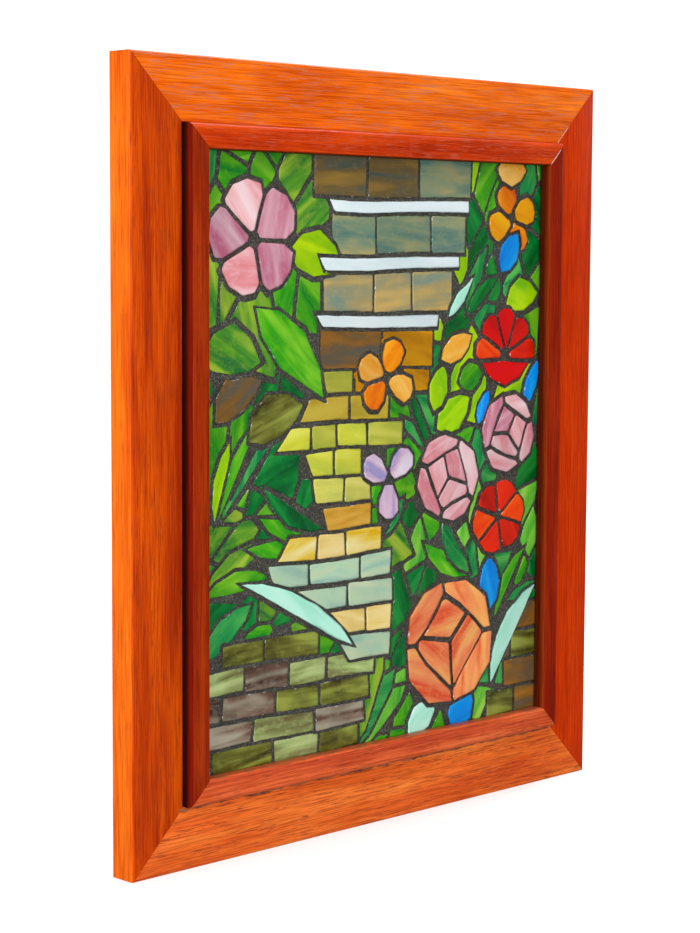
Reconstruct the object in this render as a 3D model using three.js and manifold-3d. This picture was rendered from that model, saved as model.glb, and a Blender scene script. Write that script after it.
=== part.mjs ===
// A framed stained-glass mosaic: a garden path with steps between flowers, set in dark grout, with a
// mitred hardwood frame and a raised inner moulding. Millimetres, +Z up, the picture faces -Y.
// The origin is the middle of the top rail's back, where the panel hangs on a wall.
import * as THREE from "three";
import * as BufferGeometryUtils from "three/addons/utils/BufferGeometryUtils.js";
import Module from "manifold-3d";

const wasm = await Module();
wasm.setup();

// ---------------------------------------------------------------- driving dimensions
const WIDTH = 430;             // over the outer rails
const HEIGHT = 500;
const RAIL_FACE = 40;          // rail width seen from the front
const RAIL_DEPTH = 20;
const EASED_EDGE = 0.9;        // small chamfer along the rails
const MOULDING_FACE = 16;
const MOULDING_FRONT = 27.5;   // how far the moulding's face stands out from the wall
const MOULDING_ROUND = 3;      // round on the moulding's outer front edge
const CLEARANCE = 0.3;         // between pieces that touch
const PAST = 2;                // how far a cutting prism reaches past what it cuts
const BOARD_BACK = 5;
const BOARD_FRONT = 12.7;
const BED_BACK = BOARD_FRONT + CLEARANCE;
const GROUT_FACE = 16.6;
const GLASS_BACK = 14.2;       // the underside of every tessera
const GLASS_THIN = 2.8;        // thickness of the thinnest sheet
const GLASS_STEP = 0.04;       // each kind of sheet is this much thicker than the one before
const JOINT = 1.9;             // grout between two tesserae
const SMALLEST_AREA = 36;      // mm2, smaller offcuts are left out
const SMALLEST_BREADTH = 1.3;  // area over edge length, below which a tessera is a sliver

const OPENING_W = WIDTH - 2 * RAIL_FACE;
const OPENING_H = HEIGHT - 2 * RAIL_FACE;
const SIGHT_W = OPENING_W - 2 * MOULDING_FACE;
const SIGHT_H = OPENING_H - 2 * MOULDING_FACE;
const UNDER_MOULDING = 3;      // how far the glass runs in under the moulding
const GLASS_X = SIGHT_W / 2 + UNDER_MOULDING;
const GLASS_Y = SIGHT_H / 2 + UNDER_MOULDING;
const MIDDLE_Z = RAIL_FACE / 2 - HEIGHT / 2;   // height of the picture's middle

// ---------------------------------------------------------------- glass sheets
// The order sets the thickness: a sheet from further down the list is a little thicker.
const SHEETS = {
  deep_green: "#1f5a2c", fir_green: "#2c7446", leaf_green: "#4f9a3c", moss_green: "#6f9a48",
  lime: "#a2cc2c", pale_green: "#86b878", stone_olive: "#4a4a26", stone_mauve: "#5c4a40",
  stone_wispy: "#8a9468", slate_olive: "#6a6048", slate_green: "#869486", slate_tan: "#a09678",
  umber: "#6c5034", ochre: "#a8702c", brick_olive: "#a8a044", brick_gold: "#bc9a3e",
  brick_lemon: "#ccc65a", brick_sand: "#d2bc62", brick_tan: "#c8925a", brick_cream: "#ecd894",
  brick_mist: "#a8c0a4", brick_peach: "#dcc48a", blue: "#3c86cc", seafoam: "#a8e4c4",
  white: "#e2eef0", pink: "#dc8cac", rose: "#e8b0bc", lilac: "#cbb0d8", red: "#c8141a",
  crimson: "#9c1424", orange_red: "#e2421a", orange: "#e88a34", apricot: "#f0b064",
  amber: "#eca02e", salmon: "#e87848",
};
const SHEET_NAMES = Object.keys(SHEETS);
const glassFace = (sheet) => GLASS_BACK + GLASS_THIN + SHEET_NAMES.indexOf(sheet) * GLASS_STEP;

const COLOURS = { rail: "#c8501c", moulding: "#96301a", board: "#8a6a48", grout: "#4c5340" };

// ---------------------------------------------------------------- small helpers
const rad = THREE.MathUtils.degToRad;
const lerp = THREE.MathUtils.lerp;
const point = (x, y) => new THREE.Vector2(x, y);
const polar = (centre, angle, radius) =>
  point(centre.x + radius * Math.cos(rad(angle)), centre.y + radius * Math.sin(rad(angle)));

// A repeatable number from 0 to 1 for any two values.
function chance(a, b) {
  const wave = Math.sin(a * 12.9898 + b * 78.233) * 43758.5453;
  return wave - Math.floor(wave);
}
const nudge = (a, b, most) => (chance(a, b) - 0.5) * 2 * most;

function solidFrom(geometry) {
  geometry.deleteAttribute("normal");
  geometry.deleteAttribute("uv");
  const merged = BufferGeometryUtils.mergeVertices(geometry, 1e-4);
  return new wasm.Manifold(new wasm.Mesh({
    numProp: 3,
    vertProperties: merged.attributes.position.array,
    triVerts: Uint32Array.from(merged.index.array),
  }));
}

// A flat outline in the picture's plane becomes a slab between two distances from the wall.
function slab(outline, back, front) {
  const points = THREE.ShapeUtils.isClockWise(outline) ? [...outline].reverse() : outline;
  const geometry = new THREE.ExtrudeGeometry(new THREE.Shape(points), {
    depth: front - back, bevelEnabled: false,
  });
  geometry.rotateX(Math.PI / 2);
  geometry.translate(0, -back, MIDDLE_Z);
  return solidFrom(geometry);
}

function meshFrom(name, solid, colour, roughness) {
  const { vertProperties, triVerts } = solid.getMesh();
  const geometry = new THREE.BufferGeometry();
  geometry.setAttribute("position", new THREE.BufferAttribute(new Float32Array(vertProperties), 3));
  geometry.setIndex(new THREE.BufferAttribute(new Uint32Array(triVerts), 1));
  geometry.computeVertexNormals();
  const material = new THREE.MeshStandardMaterial({ color: colour, roughness, metalness: 0 });
  const mesh = new THREE.Mesh(geometry, material);
  mesh.name = name;
  return mesh;
}

const group = new THREE.Group();

// ---------------------------------------------------------------- rails and moulding
// A mitred strip: its section, drawn as (distance in from the outer edge, distance from the wall),
// runs along one side of the frame and is cut at 45 degrees by the trapezoid it fills.
function strip(side, outerW, outerH, face, section) {
  const upright = side === "left" || side === "right";
  const length = upright ? outerH : outerW;
  const reach = (upright ? outerW : outerH) / 2;
  const run = new THREE.ExtrudeGeometry(new THREE.Shape(section), { depth: length, bevelEnabled: false });
  run.translate(0, 0, -length / 2);
  // section x -> inwards, section y -> away from the wall, the run -> along the side
  run.applyMatrix4(new THREE.Matrix4().makeBasis(
    new THREE.Vector3(0, 0, -1), new THREE.Vector3(0, -1, 0), new THREE.Vector3(-1, 0, 0)));
  run.translate(0, 0, reach);
  const turn = { top: 0, right: 90, bottom: 180, left: 270 }[side];
  run.rotateY(rad(turn));
  run.translate(0, 0, MIDDLE_Z);

  const long = length / 2 - CLEARANCE / 2;
  const deep = face + PAST;
  const flat = [point(-long, reach + PAST), point(long, reach + PAST), point(long, reach),
    point(long - deep, reach - deep), point(deep - long, reach - deep), point(-long, reach)];
  const turned = flat.map((p) => p.clone().rotateAround(point(0, 0), -rad(turn)));
  return solidFrom(run).intersect(slab(turned, -PAST, MOULDING_FRONT + PAST));
}

const railSection = [
  point(0, EASED_EDGE), point(EASED_EDGE, 0), point(RAIL_FACE, 0),
  point(RAIL_FACE, RAIL_DEPTH - EASED_EDGE / 2), point(RAIL_FACE - EASED_EDGE / 2, RAIL_DEPTH),
  point(EASED_EDGE, RAIL_DEPTH), point(0, RAIL_DEPTH - EASED_EDGE),
];

const thickestGlass = glassFace(SHEET_NAMES.at(-1));
const mouldingBack = thickestGlass + CLEARANCE;
const roundSteps = [0, 0.25, 0.5, 0.75, 1];
const mouldingSection = [
  point(CLEARANCE, mouldingBack), point(MOULDING_FACE, mouldingBack),
  point(MOULDING_FACE, MOULDING_FRONT - EASED_EDGE), point(MOULDING_FACE - EASED_EDGE, MOULDING_FRONT),
  ...roundSteps.map((t) => point(
    CLEARANCE + MOULDING_ROUND * (1 - Math.sin(t * Math.PI / 2)),
    MOULDING_FRONT - MOULDING_ROUND * (1 - Math.cos(t * Math.PI / 2)))),
];

for (const side of ["top", "bottom", "left", "right"]) {
  group.add(meshFrom(`rail_${side}`, strip(side, WIDTH, HEIGHT, RAIL_FACE, railSection), COLOURS.rail, 0.45));
  group.add(meshFrom(`moulding_${side}`,
    strip(side, OPENING_W, OPENING_H, MOULDING_FACE, mouldingSection), COLOURS.moulding, 0.4));
}

// ---------------------------------------------------------------- outlines of tesserae
// Moves every edge of an outline outwards by a distance.
function grow(outline, distance) {
  const points = THREE.ShapeUtils.isClockWise(outline) ? [...outline].reverse() : outline;
  const count = points.length;
  return points.map((p, i) => {
    const before = p.clone().sub(points[(i + count - 1) % count]).normalize();
    const after = points[(i + 1) % count].clone().sub(p).normalize();
    const out = point(before.y + after.y, -before.x - after.x).normalize();
    const stretch = Math.max(out.x * before.y - out.y * before.x, 0.5);
    return p.clone().addScaledVector(out, distance / stretch);
  });
}

// Keeps the part of an outline on one side of a line through a point, with the given outward normal.
function clip(outline, through, outward) {
  const height = (p) => p.clone().sub(through).dot(outward);
  const kept = [];
  outline.forEach((p, i) => {
    const q = outline[(i + 1) % outline.length];
    if (height(p) <= 0) kept.push(p);
    if (height(p) < 0 !== height(q) < 0) kept.push(p.clone().lerp(q, height(p) / (height(p) - height(q))));
  });
  return kept;
}

const CLOSE = 0.6;        // corners nearer than this become one

function trimToPanel(outline) {
  let kept = outline;
  for (const [x, y] of [[1, 0], [-1, 0], [0, 1], [0, -1]]) {
    kept = clip(kept, point(x * GLASS_X, y * GLASS_Y), point(x, y));
  }
  return kept.filter((p, i) => p.distanceTo(kept[(i + 1) % kept.length]) > CLOSE);
}

// A petal from its narrow root out to a rounded end.
function petal(centre, angle, root, length, breadth) {
  const along = point(Math.cos(rad(angle)), Math.sin(rad(angle)));
  const across = point(-along.y, along.x);
  const profile = [[0, 0.17], [0.42, 0.45], [0.8, 0.46], [1, 0.17]];
  const side = (sign) => profile.map(([t, w], i) => centre.clone()
    .addScaledVector(along, root + t * (length - root))
    .addScaledVector(across, sign * w * breadth * (1 + nudge(angle + i, sign * 7 + length, 0.07))));
  return [...side(1), ...side(-1).reverse()];
}

// A crescent piece of a ring, between two radii and two angles, with a straight joint at each end.
// The taper thins its ends.
function crescent(centre, inner, outer, from, to, taper) {
  const outerStops = [0, 0.33, 0.67, 1];
  const innerStops = [1, 0.67, 0.33, 0];
  const bulge = (t) => outer * (0.95 + 0.07 * Math.sin(t * Math.PI) + nudge(from, t * 9, 0.02));
  const hollow = (t) => inner * (1 + taper * (2 * t - 1) ** 2);
  let outline = [
    ...outerStops.map((t) => polar(centre, lerp(from, to, t), bulge(t))),
    ...innerStops.map((t) => polar(centre, lerp(from, to, t), hollow(t))),
  ];
  for (const [angle, sign] of [[from, -1], [to, 1]]) {
    const outward = polar(point(0, 0), angle + sign * 90, 1);
    outline = clip(outline, centre.clone().addScaledVector(outward, -JOINT / 2), outward);
  }
  return outline;
}

// A leaf or blade from its foot to its tip, widest at a share of its length and bowed to one side.
function leaf(foot, tip, breadth, bow = 0, widest = 0.45, stops = 3) {
  const along = tip.clone().sub(foot);
  const across = point(-along.y, along.x).normalize();
  const middle = (t) => foot.clone().addScaledVector(along, t).addScaledVector(across, 4 * bow * t * (1 - t));
  const width = (t) => breadth / 2 * (t < widest ? Math.sin(t / widest * Math.PI / 2) ** 0.6
    : Math.cos((t - widest) / (1 - widest) * Math.PI / 2) ** 0.8);
  const steps = Array.from({ length: stops }, (_, i) => (i + 0.6) / (stops + 0.2));
  return [middle(0), ...steps.map((t) => middle(t).addScaledVector(across, -width(t))), middle(1),
    ...steps.reverse().map((t) => middle(t).addScaledVector(across, width(t)))];
}

// ---------------------------------------------------------------- laying the glass
// Glass that is laid first keeps its shape; every later piece is nipped to leave a grout joint.
const laid = [];          // outlines already on the board, grown by the joint
const fused = [];         // solids that stay part of the grout bed's node
const pockets = [];       // hollows for the tesserae that are nodes of their own

function boundsOf(outline) {
  return new THREE.Box2().setFromPoints(outline);
}

function remember(outline) {
  const cutter = (distance) => slab(grow(outline, distance), GLASS_BACK - PAST, thickestGlass + PAST);
  laid.push({ box: boundsOf(grow(outline, JOINT)), wide: cutter(JOINT), close: cutter(JOINT - CLEARANCE) });
}

// Nips a slab along its neighbours and gives back what is left, the largest piece first.
function nip(glass, outline, reach) {
  const box = boundsOf(outline);
  let rest = glass;
  for (const neighbour of laid) {
    if (neighbour.box.intersectsBox(box)) rest = rest.subtract(neighbour[reach]);
  }
  return rest.decompose().sort((a, b) => b.volume() - a.volume());
}

// A named tessera lies in a pocket of the bed with a hair of clearance all round.
function layNamed(name, sheet, outline) {
  const shape = trimToPanel(outline);
  const hollow = grow(shape, CLEARANCE);
  const [glass] = nip(slab(shape, GLASS_BACK, glassFace(sheet)), shape, "wide");
  const [pocket] = nip(slab(hollow, GLASS_BACK - CLEARANCE, thickestGlass + PAST), hollow, "close");
  group.add(meshFrom(name, glass, SHEETS[sheet], 0.2));
  pockets.push(pocket);
  remember(shape);
}

// A fused tessera gives way to what is already laid; pieces too small to hold are dropped.
const BED_GRIP = 15.4;     // fused glass starts inside the grout slab
const NIP_FINENESS = 0.35; // corners closer to a straight edge than this are dropped

function layFused(sheet, outline) {
  const shape = trimToPanel(outline);
  if (shape.length < 3) return;
  const face = glassFace(sheet);
  for (const piece of nip(slab(shape, BED_GRIP, face), shape, "wide")) {
    const area = piece.volume() / (face - BED_GRIP);
    const edge = (piece.surfaceArea() - 2 * area) / (face - BED_GRIP);
    if (area > SMALLEST_AREA && area / edge > SMALLEST_BREADTH) fused.push(piece.simplify(NIP_FINENESS));
  }
  remember(shape);
}

// ---------------------------------------------------------------- flowers
function namedPetals(name, sheets, outlines) {
  outlines.forEach((outline, i) => layNamed(`${name}_${i + 1}`, sheets[i % sheets.length], outline));
}

// Petals round one middle, each nipped along the lines halfway to its neighbours.
function petalRing(centre, angles, length, breadth) {
  return angles.map((angle, i) => {
    let outline = petal(centre, angle, length * 0.12, length, breadth);
    for (const sign of [1, -1]) {
      const next = angles[(i + sign + angles.length) % angles.length];
      const halfway = angle + sign * THREE.MathUtils.euclideanModulo(sign * (next - angle), 360) / 2;
      const outward = polar(point(0, 0), halfway + sign * 90, 1);
      outline = clip(outline, centre.clone().addScaledVector(outward, -JOINT / 2), outward);
    }
    return outline;
  });
}

function blossom(name, centre, sheets, angles, length, breadth) {
  namedPetals(name, sheets, petalRing(centre, angles, length, breadth));
}

// A full rose: a ring of outer petals that thin towards their ends, round three heart petals.
const ROSE = { outerCount: 4, heartCount: 3, hollow: 0.58, taper: 0.38, heart: 0.74 };

function rose(name, centre, radius, turn, sheets) {
  const ring = (count, inner, outer, start, taper) => Array.from({ length: count }, (_, i) => {
    const angleAt = (k) => start + k * 360 / count + (k % count ? nudge(radius + k, start, 11) : 0);
    return crescent(centre, inner, outer, angleAt(i), angleAt(i + 1), taper);
  });
  namedPetals(name, sheets, [
    ...ring(ROSE.outerCount, radius * ROSE.hollow, radius, turn, ROSE.taper),
    ...ring(ROSE.heartCount, radius * 0.05, radius * ROSE.heart, turn + 40, 0),
  ]);
}

// A poppy seen from the side: a fan of petals over a wide bowl.
function poppy(name, centre, radius, sheets) {
  const floor = centre.clone().add(point(0, -radius * 0.12));
  const fan = petalRing(centre, [6, 48, 90, 132, 174], radius, radius * 0.72)
    .map((outline) => clip(outline, floor, point(0, -1)));
  const rim = point(radius * 0.78, -radius * 0.2);
  const bowl = leaf(point(centre.x - rim.x, centre.y + rim.y), centre.clone().add(rim),
    radius * 0.56, -radius * 0.26, 0.5);
  namedPetals(name, sheets, [...fan, bowl]);
}

// ---------------------------------------------------------------- the picture
// Places are measured from the picture's middle, x to the right and y up.

// A flight of four steps climbs away at the top: a riser of blocks over each white edge.
const STEP = { count: 4, pitch: 37.6, riser: 26, edge: 8.8, firstFoot: 169 };
const STEP_ENDS = [[-63, 88], [-46, 83], [-54, 69], [-57, 50]];
const STEP_SHEETS = [["slate_olive", "slate_olive", "slate_green"], ["slate_green"], ["slate_tan"],
  ["umber", "ochre"]];

function quad(left, right, bottom, top, seed, slack = 0.7, lean = 0) {
  const j = (k) => nudge(seed, k, slack);
  return [point(left + j(1), bottom + j(2)), point(right + j(3), bottom + j(4)),
    point(right + j(5), top + j(6)), point(left - lean + j(7), top + j(8))];
}

function whiteEdges() {
  for (let i = 0; i < STEP.count - 1; i += 1) {
    const top = STEP.firstFoot - i * STEP.pitch - JOINT;
    const [left] = STEP_ENDS[i + 1];
    const [, right] = STEP_ENDS[i];
    layNamed(`white_step_edge_${i + 1}`, "white",
      quad(left + 3, right - 4 - 5 * i, top - STEP.edge, top, 31 + i, 0.9, 5));
  }
}

function riserBlocks() {
  for (let i = 0; i < STEP.count; i += 1) {
    const foot = STEP.firstFoot - i * STEP.pitch;
    const [left, right] = STEP_ENDS[i];
    const sheets = STEP_SHEETS[i];
    course(left, right, foot, foot + STEP.riser, i < 3 ? 3 : 2, (k) => sheets[k % sheets.length], 3 + i, 0);
  }
}

// One course of blocks between two ends, with joints at uneven places.
function course(left, right, bottom, top, count, sheetOf, seed, lean) {
  const ends = Array.from({ length: count + 1 }, (_, k) => lerp(left, right, k / count)
    + (k > 0 && k < count ? nudge(seed, k, (right - left) / count * 0.16) : 0));
  for (let k = 0; k < count; k += 1) {
    layFused(sheetOf(k), quad(ends[k] + JOINT / 2, ends[k + 1] - JOINT / 2, bottom, top,
      seed * 17 + k, 0.8, k === 0 ? lean : 0));
  }
}

// The path winds down from the steps in courses of small bricks, its colours changing as it comes.
const PATH = { top: 54.5, pitch: 17.5, joint: 2.6 };
const PATH_COURSES = [
  { left: -51, right: 48, bricks: 4, lean: 4, sheets: ["brick_olive", "ochre"] },
  { left: -76, right: 9, bricks: 2, lean: -9, sheets: ["brick_gold"] },
  { left: -96, right: 22, bricks: 4, lean: -12, sheets: ["brick_lemon", "brick_olive"] },
  { left: -64, right: 6, bricks: 3, lean: 7, sheets: ["brick_lemon"] },
  { left: -61, right: -8, bricks: 2, lean: 4, sheets: ["brick_sand"] },
  { left: -50, right: -8, bricks: 1, lean: 5, sheets: ["brick_tan"] },
  { left: -93, right: 1, bricks: 3, lean: -9, sheets: ["brick_cream", "brick_peach"] },
  { left: -96, right: 10, bricks: 3, lean: 6, sheets: ["brick_mist"] },
  { left: -72, right: 12, bricks: 2, lean: 8, sheets: ["brick_mist"] },
  { left: -48, right: 11, bricks: 2, lean: 8, sheets: ["brick_peach"] },
  { left: -30, right: 11, bricks: 1, lean: 10, sheets: ["brick_mist"] },
];

function path() {
  PATH_COURSES.forEach(({ left, right, bricks, lean, sheets }, i) => {
    const top = PATH.top - i * PATH.pitch;
    course(left, right, top - PATH.pitch + PATH.joint, top, bricks, (k) => sheets[k % sheets.length],
      40 + i, lean);
  });
}

// A low stone wall in the near left corner, and a few more stones in the right one.
function stoneWall(left, rightAt, top, bottom, pitch, length, sheets, seed) {
  const courses = Math.round((top - bottom) / pitch);
  for (let i = 0; i < courses; i += 1) {
    const high = top - i * pitch;
    const right = rightAt(high);
    const shift = (i % 2) * length * 0.45;
    const count = Math.max(1, Math.round((right - left) / length));
    course(left - shift, right, high - pitch + JOINT, high, count + (shift > 0 ? 1 : 0),
      (k) => sheets[(i + k + Math.round(chance(seed + i, k))) % sheets.length], seed + i, 0);
  }
}

// A fan of blades springing from one foot.
function bladeFan(foot, lengths, from, to, breadth, sheets, bow) {
  lengths.forEach((length, i) => {
    const angle = lerp(from, to, lengths.length > 1 ? i / (lengths.length - 1) : 0);
    const start = polar(foot, angle, length * 0.12);
    layFused(sheets[i % sheets.length], leaf(start, polar(foot, angle, length), breadth, bow, 0.55));
  });
}

// Crazy paving of leaf pieces: cells round scattered seeds, drawn out along one direction.
function scatter({ left, right, bottom, top, cell, angle, stretch, sheets, seed }) {
  const squeeze = (p) => p.clone().rotateAround(point(0, 0), -rad(angle)).multiply(point(1 / stretch, 1));
  const relax = (p) => p.clone().multiply(point(stretch, 1)).rotateAround(point(0, 0), rad(angle));
  const seeds = [];
  for (let y = bottom, row = 0; y < top + cell; y += cell, row += 1) {
    for (let x = left + (row % 2) * cell / 2; x < right + cell; x += cell) {
      const at = point(x + nudge(seed + row, x, cell * 0.27), y + nudge(seed - x, row, cell * 0.27));
      if (at.x > left && at.x < right && at.y > bottom && at.y < top) seeds.push(squeeze(at));
    }
  }
  seeds.forEach((centre, i) => {
    const far = cell * 1.1;
    let outline = [point(-far, -far), point(far, -far), point(far, far), point(-far, far)]
      .map((p) => p.add(centre));
    for (const other of seeds) {
      const away = other.clone().sub(centre);
      if (other === centre || away.length() > 2 * far) continue;
      const halfway = away.length() / 2 - JOINT / 2 / stretch;
      away.normalize();
      outline = clip(outline, centre.clone().addScaledVector(away, halfway), away);
    }
    layFused(sheets[Math.floor(chance(seed * 3 + i, i) * sheets.length)], outline.map(relax));
  });
}

// Flowers and other pieces that are nodes of their own come first.
blossom("pink_blossom_petal", point(-114, 141), ["pink", "rose"], [36, 108, 172, 244, 318], 38, 36);
poppy("red_poppy_petal", point(124, 62), 32, ["red", "crimson", "red", "red", "orange_red"]);
rose("pink_rose_petal", point(129, 6), 28, 20, ["rose", "pink", "rose"]);
rose("pale_rose_petal", point(66, -21), 31, 65, ["rose"]);
blossom("red_blossom_petal", point(119, -52), ["orange_red", "red", "crimson"],
  [10, 68, 128, 190, 248, 312], 27, 24);
rose("salmon_rose_petal", point(70, -136), 45, 5, ["salmon"]);
blossom("orange_blossom_petal", point(6, 49), ["orange", "apricot"], [70, 158, 228, 335], 27, 21);
blossom("lilac_blossom_petal", point(9, -19), ["lilac"], [42, 150, 268], 27, 20);
whiteEdges();
layNamed("long_pale_blade", "seafoam", leaf(point(-126, -76), point(-24, -127), 15, 5, 0.6, 4));
layNamed("curved_pale_blade", "seafoam", leaf(point(113, -172), point(160, -104), 13, 9, 0.5, 4));

// Single leaves, buds and scraps of sky that give the planting its large shapes.
const SINGLES = [
  ["lime", [-84, 133], [-35, 124], 32, 3], ["leaf_green", [-113, 98], [-52, 36], 32, 3],
  ["moss_green", [-160, 66], [-106, 62], 36, 8], ["umber", [-146, 26], [-108, 52], 26, 5],
  ["stone_olive", [-118, 12], [-72, 34], 30, 6], ["apricot", [58, 60], [88, 76], 19, 0],
  ["blue", [118, 118], [136, 146], 20, 0], ["blue", [145, 22], [160, 58], 13, 0],
  ["blue", [97, 14], [108, 37], 11, 0], ["blue", [111, -121], [111, -78], 22, 0],
  ["blue", [72, -197], [92, -172], 26, 0], ["lime", [52, 24], [62, 58], 20, 0],
  ["lime", [54, 12], [90, 34], 26, 0], ["leaf_green", [76, 44], [102, 50], 22, 0],
  ["lime", [124, 96], [160, 104], 24, 4], ["apricot", [114, 190], [144, 190], 24, 0],
  ["seafoam", [28, -197], [56, -172], 22, 0], ["seafoam", [64, 88], [90, 116], 9, 0],
];
for (const [sheet, foot, tip, breadth, bow] of SINGLES) {
  layFused(sheet, leaf(point(...foot), point(...tip), breadth, bow, 0.5));
}
for (const [i, angle] of [20, 110, 200, 290].entries()) {
  layFused(i % 2 ? "orange" : "amber", petal(point(130, 156), angle, 3, 25, 22));
}

riserBlocks();
path();
stoneWall(-164, (y) => -3 + (y + 131) * 0.33, -131, -197, 16.5, 46,
  ["stone_wispy", "stone_olive", "stone_mauve"], 70);
stoneWall(-142, () => -56, -114, -130, 16, 44, ["stone_olive"], 80);
stoneWall(127, () => 164, -117, -197, 20, 40, ["stone_olive", "umber"], 90);

const GREENS = ["leaf_green", "moss_green", "fir_green", "leaf_green"];
bladeFan(point(-148, -44), [60, 74, 82], 76, 50, 11, ["lime", "leaf_green", "fir_green"], 2);
bladeFan(point(-46, -50), [68, 66, 74], 152, 184, 14, ["deep_green", "leaf_green", "leaf_green"], 5);
bladeFan(point(-164, -84), [66, 70], 8, 26, 15, ["leaf_green", "moss_green"], 4);
bladeFan(point(-164, -128), [62], 38, 38, 18, ["fir_green"], 2);
bladeFan(point(-26, -204), [78, 72, 70], 66, 40, 20, ["moss_green", "fir_green", "pale_green"], 3);
bladeFan(point(0, -62), [40, 38], 74, 52, 11, ["fir_green"], 0);
bladeFan(point(96, -96), [58, 62], 128, 150, 16, ["fir_green", "leaf_green"], 2);
bladeFan(point(112, -132), [66, 60], 56, 30, 12, ["leaf_green", "fir_green"], 3);
bladeFan(point(80, 86), [46, 56], 40, 64, 12, ["deep_green", "fir_green"], 2);
bladeFan(point(52, -6), [52, 42], 118, 138, 10, ["deep_green", "fir_green"], 0);

scatter({ left: -172, right: -55, bottom: 98, top: 205, cell: 26, angle: 78, stretch: 1.6,
  sheets: ["leaf_green", "moss_green", "fir_green", "leaf_green"], seed: 5 });
scatter({ left: -172, right: -45, bottom: 20, top: 112, cell: 26, angle: 66, stretch: 1.7,
  sheets: ["fir_green", "leaf_green", "deep_green"], seed: 11 });
scatter({ left: -172, right: -15, bottom: -140, top: 30, cell: 23, angle: 28, stretch: 2,
  sheets: ["moss_green", "leaf_green", "deep_green"], seed: 17 });
scatter({ left: 40, right: 172, bottom: 60, top: 205, cell: 24, angle: 75, stretch: 1.8,
  sheets: ["leaf_green", "fir_green", "lime", "deep_green"], seed: 23 });
scatter({ left: -30, right: 172, bottom: -205, top: 66, cell: 23, angle: 62, stretch: 2,
  sheets: ["fir_green", "leaf_green", "pale_green", "deep_green"], seed: 29 });

// ---------------------------------------------------------------- board and grout bed
const boardOutline = [point(-1, -1), point(1, -1), point(1, 1), point(-1, 1)]
  .map((p) => point(p.x * (OPENING_W / 2 - CLEARANCE), p.y * (OPENING_H / 2 - CLEARANCE)));

group.add(meshFrom("backing_board", slab(boardOutline, BOARD_BACK, BOARD_FRONT), COLOURS.board, 0.8));
const bed = slab(boardOutline, BED_BACK, GROUT_FACE).add(wasm.Manifold.union(fused)).asOriginal()
  .subtract(wasm.Manifold.union(pockets));
group.add(meshFrom("grout_bed", bed, COLOURS.grout, 0.7));

export default group;
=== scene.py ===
# %% [markdown]
# # A framed stained-glass mosaic
# The real object is a picture made of hand-nipped pieces of opalescent glass, set in dark sanded grout
# on a board. Round it sits a mitred hardwood frame with a raised inner moulding. The solid parts come
# from the shared frame, in metres, with the origin at the middle of the top rail's back. Everything
# below gives those solids the surfaces of glass, cement and stained wood.

# %% Load the solid parts
import math
import random

import bpy
import numpy as np
from mathutils import Matrix, Vector, geometry, noise


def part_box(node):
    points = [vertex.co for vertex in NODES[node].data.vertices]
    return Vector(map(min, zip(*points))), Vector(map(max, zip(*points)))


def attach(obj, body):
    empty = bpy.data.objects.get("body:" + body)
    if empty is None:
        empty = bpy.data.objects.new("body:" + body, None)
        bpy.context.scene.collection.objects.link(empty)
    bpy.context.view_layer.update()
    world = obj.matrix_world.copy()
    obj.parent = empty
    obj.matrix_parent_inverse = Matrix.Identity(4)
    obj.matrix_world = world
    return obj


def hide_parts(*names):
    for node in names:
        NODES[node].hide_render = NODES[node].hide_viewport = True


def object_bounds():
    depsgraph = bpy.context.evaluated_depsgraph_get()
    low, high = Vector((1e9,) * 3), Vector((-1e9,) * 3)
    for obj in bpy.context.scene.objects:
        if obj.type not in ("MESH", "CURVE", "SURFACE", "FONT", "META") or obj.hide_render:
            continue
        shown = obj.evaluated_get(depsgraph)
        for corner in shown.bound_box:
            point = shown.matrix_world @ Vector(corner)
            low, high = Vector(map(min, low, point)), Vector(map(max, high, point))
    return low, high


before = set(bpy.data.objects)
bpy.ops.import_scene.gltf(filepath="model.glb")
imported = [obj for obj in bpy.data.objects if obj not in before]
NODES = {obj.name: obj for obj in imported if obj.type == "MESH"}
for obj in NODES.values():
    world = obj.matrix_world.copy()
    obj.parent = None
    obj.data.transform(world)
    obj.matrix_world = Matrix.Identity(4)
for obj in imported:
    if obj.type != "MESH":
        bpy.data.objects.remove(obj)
CAD_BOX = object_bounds()
MM = 0.001
random.seed(7)
noise.seed_set(7)  # unseeded, the vector noise starts from the clock and moves the glass each run
print(len(NODES), "solid parts, overall box", CAD_BOX)

# %% [markdown]
# ## The camera
# The panel is looked at from its left, a little above the middle, with a long lens from a metre and a
# half away. A camera is easiest to place on a ball round the thing it looks at: an azimuth, an
# elevation and a distance give its seat, and to_track_quat turns it to face the aim, a little to the
# left of the panel's middle and below it.

# %% Camera
PANEL_MIDDLE = (Vector(CAD_BOX[0]) + Vector(CAD_BOX[1])) / 2
AIM = PANEL_MIDDLE + Vector((-16.5, 8.5, -9.4)) * MM
AZIMUTH = math.radians(-44.85)
ELEVATION = math.radians(5.55)
DISTANCE = 1.472
ROLL = math.radians(0.33)
LENS_MM = 85.5

towards = Vector((math.sin(AZIMUTH) * math.cos(ELEVATION), -math.cos(AZIMUTH) * math.cos(ELEVATION),
                  math.sin(ELEVATION)))
camera = bpy.data.objects.new("camera", bpy.data.cameras.new("camera"))
bpy.context.collection.objects.link(camera)
camera.data.lens = LENS_MM
camera.data.clip_start = 50 * MM
turn = (-towards).to_track_quat("-Z", "Y").to_matrix().to_4x4()
camera.matrix_world = Matrix.Translation(AIM + towards * DISTANCE) @ turn @ Matrix.Rotation(ROLL, 4, "Z")
bpy.context.scene.camera = camera
print("camera at", tuple(round(c, 3) for c in camera.location))

# %% [markdown]
# ## Colours and sizes
# Colours are written as the hex values a paint chart shows and turned to linear light once, here. A
# noise of scale 1 has blots about a metre wide, so the scale that gives marks of a known size is one
# over that size. Every pattern below is sized this way, in millimetres.

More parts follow.
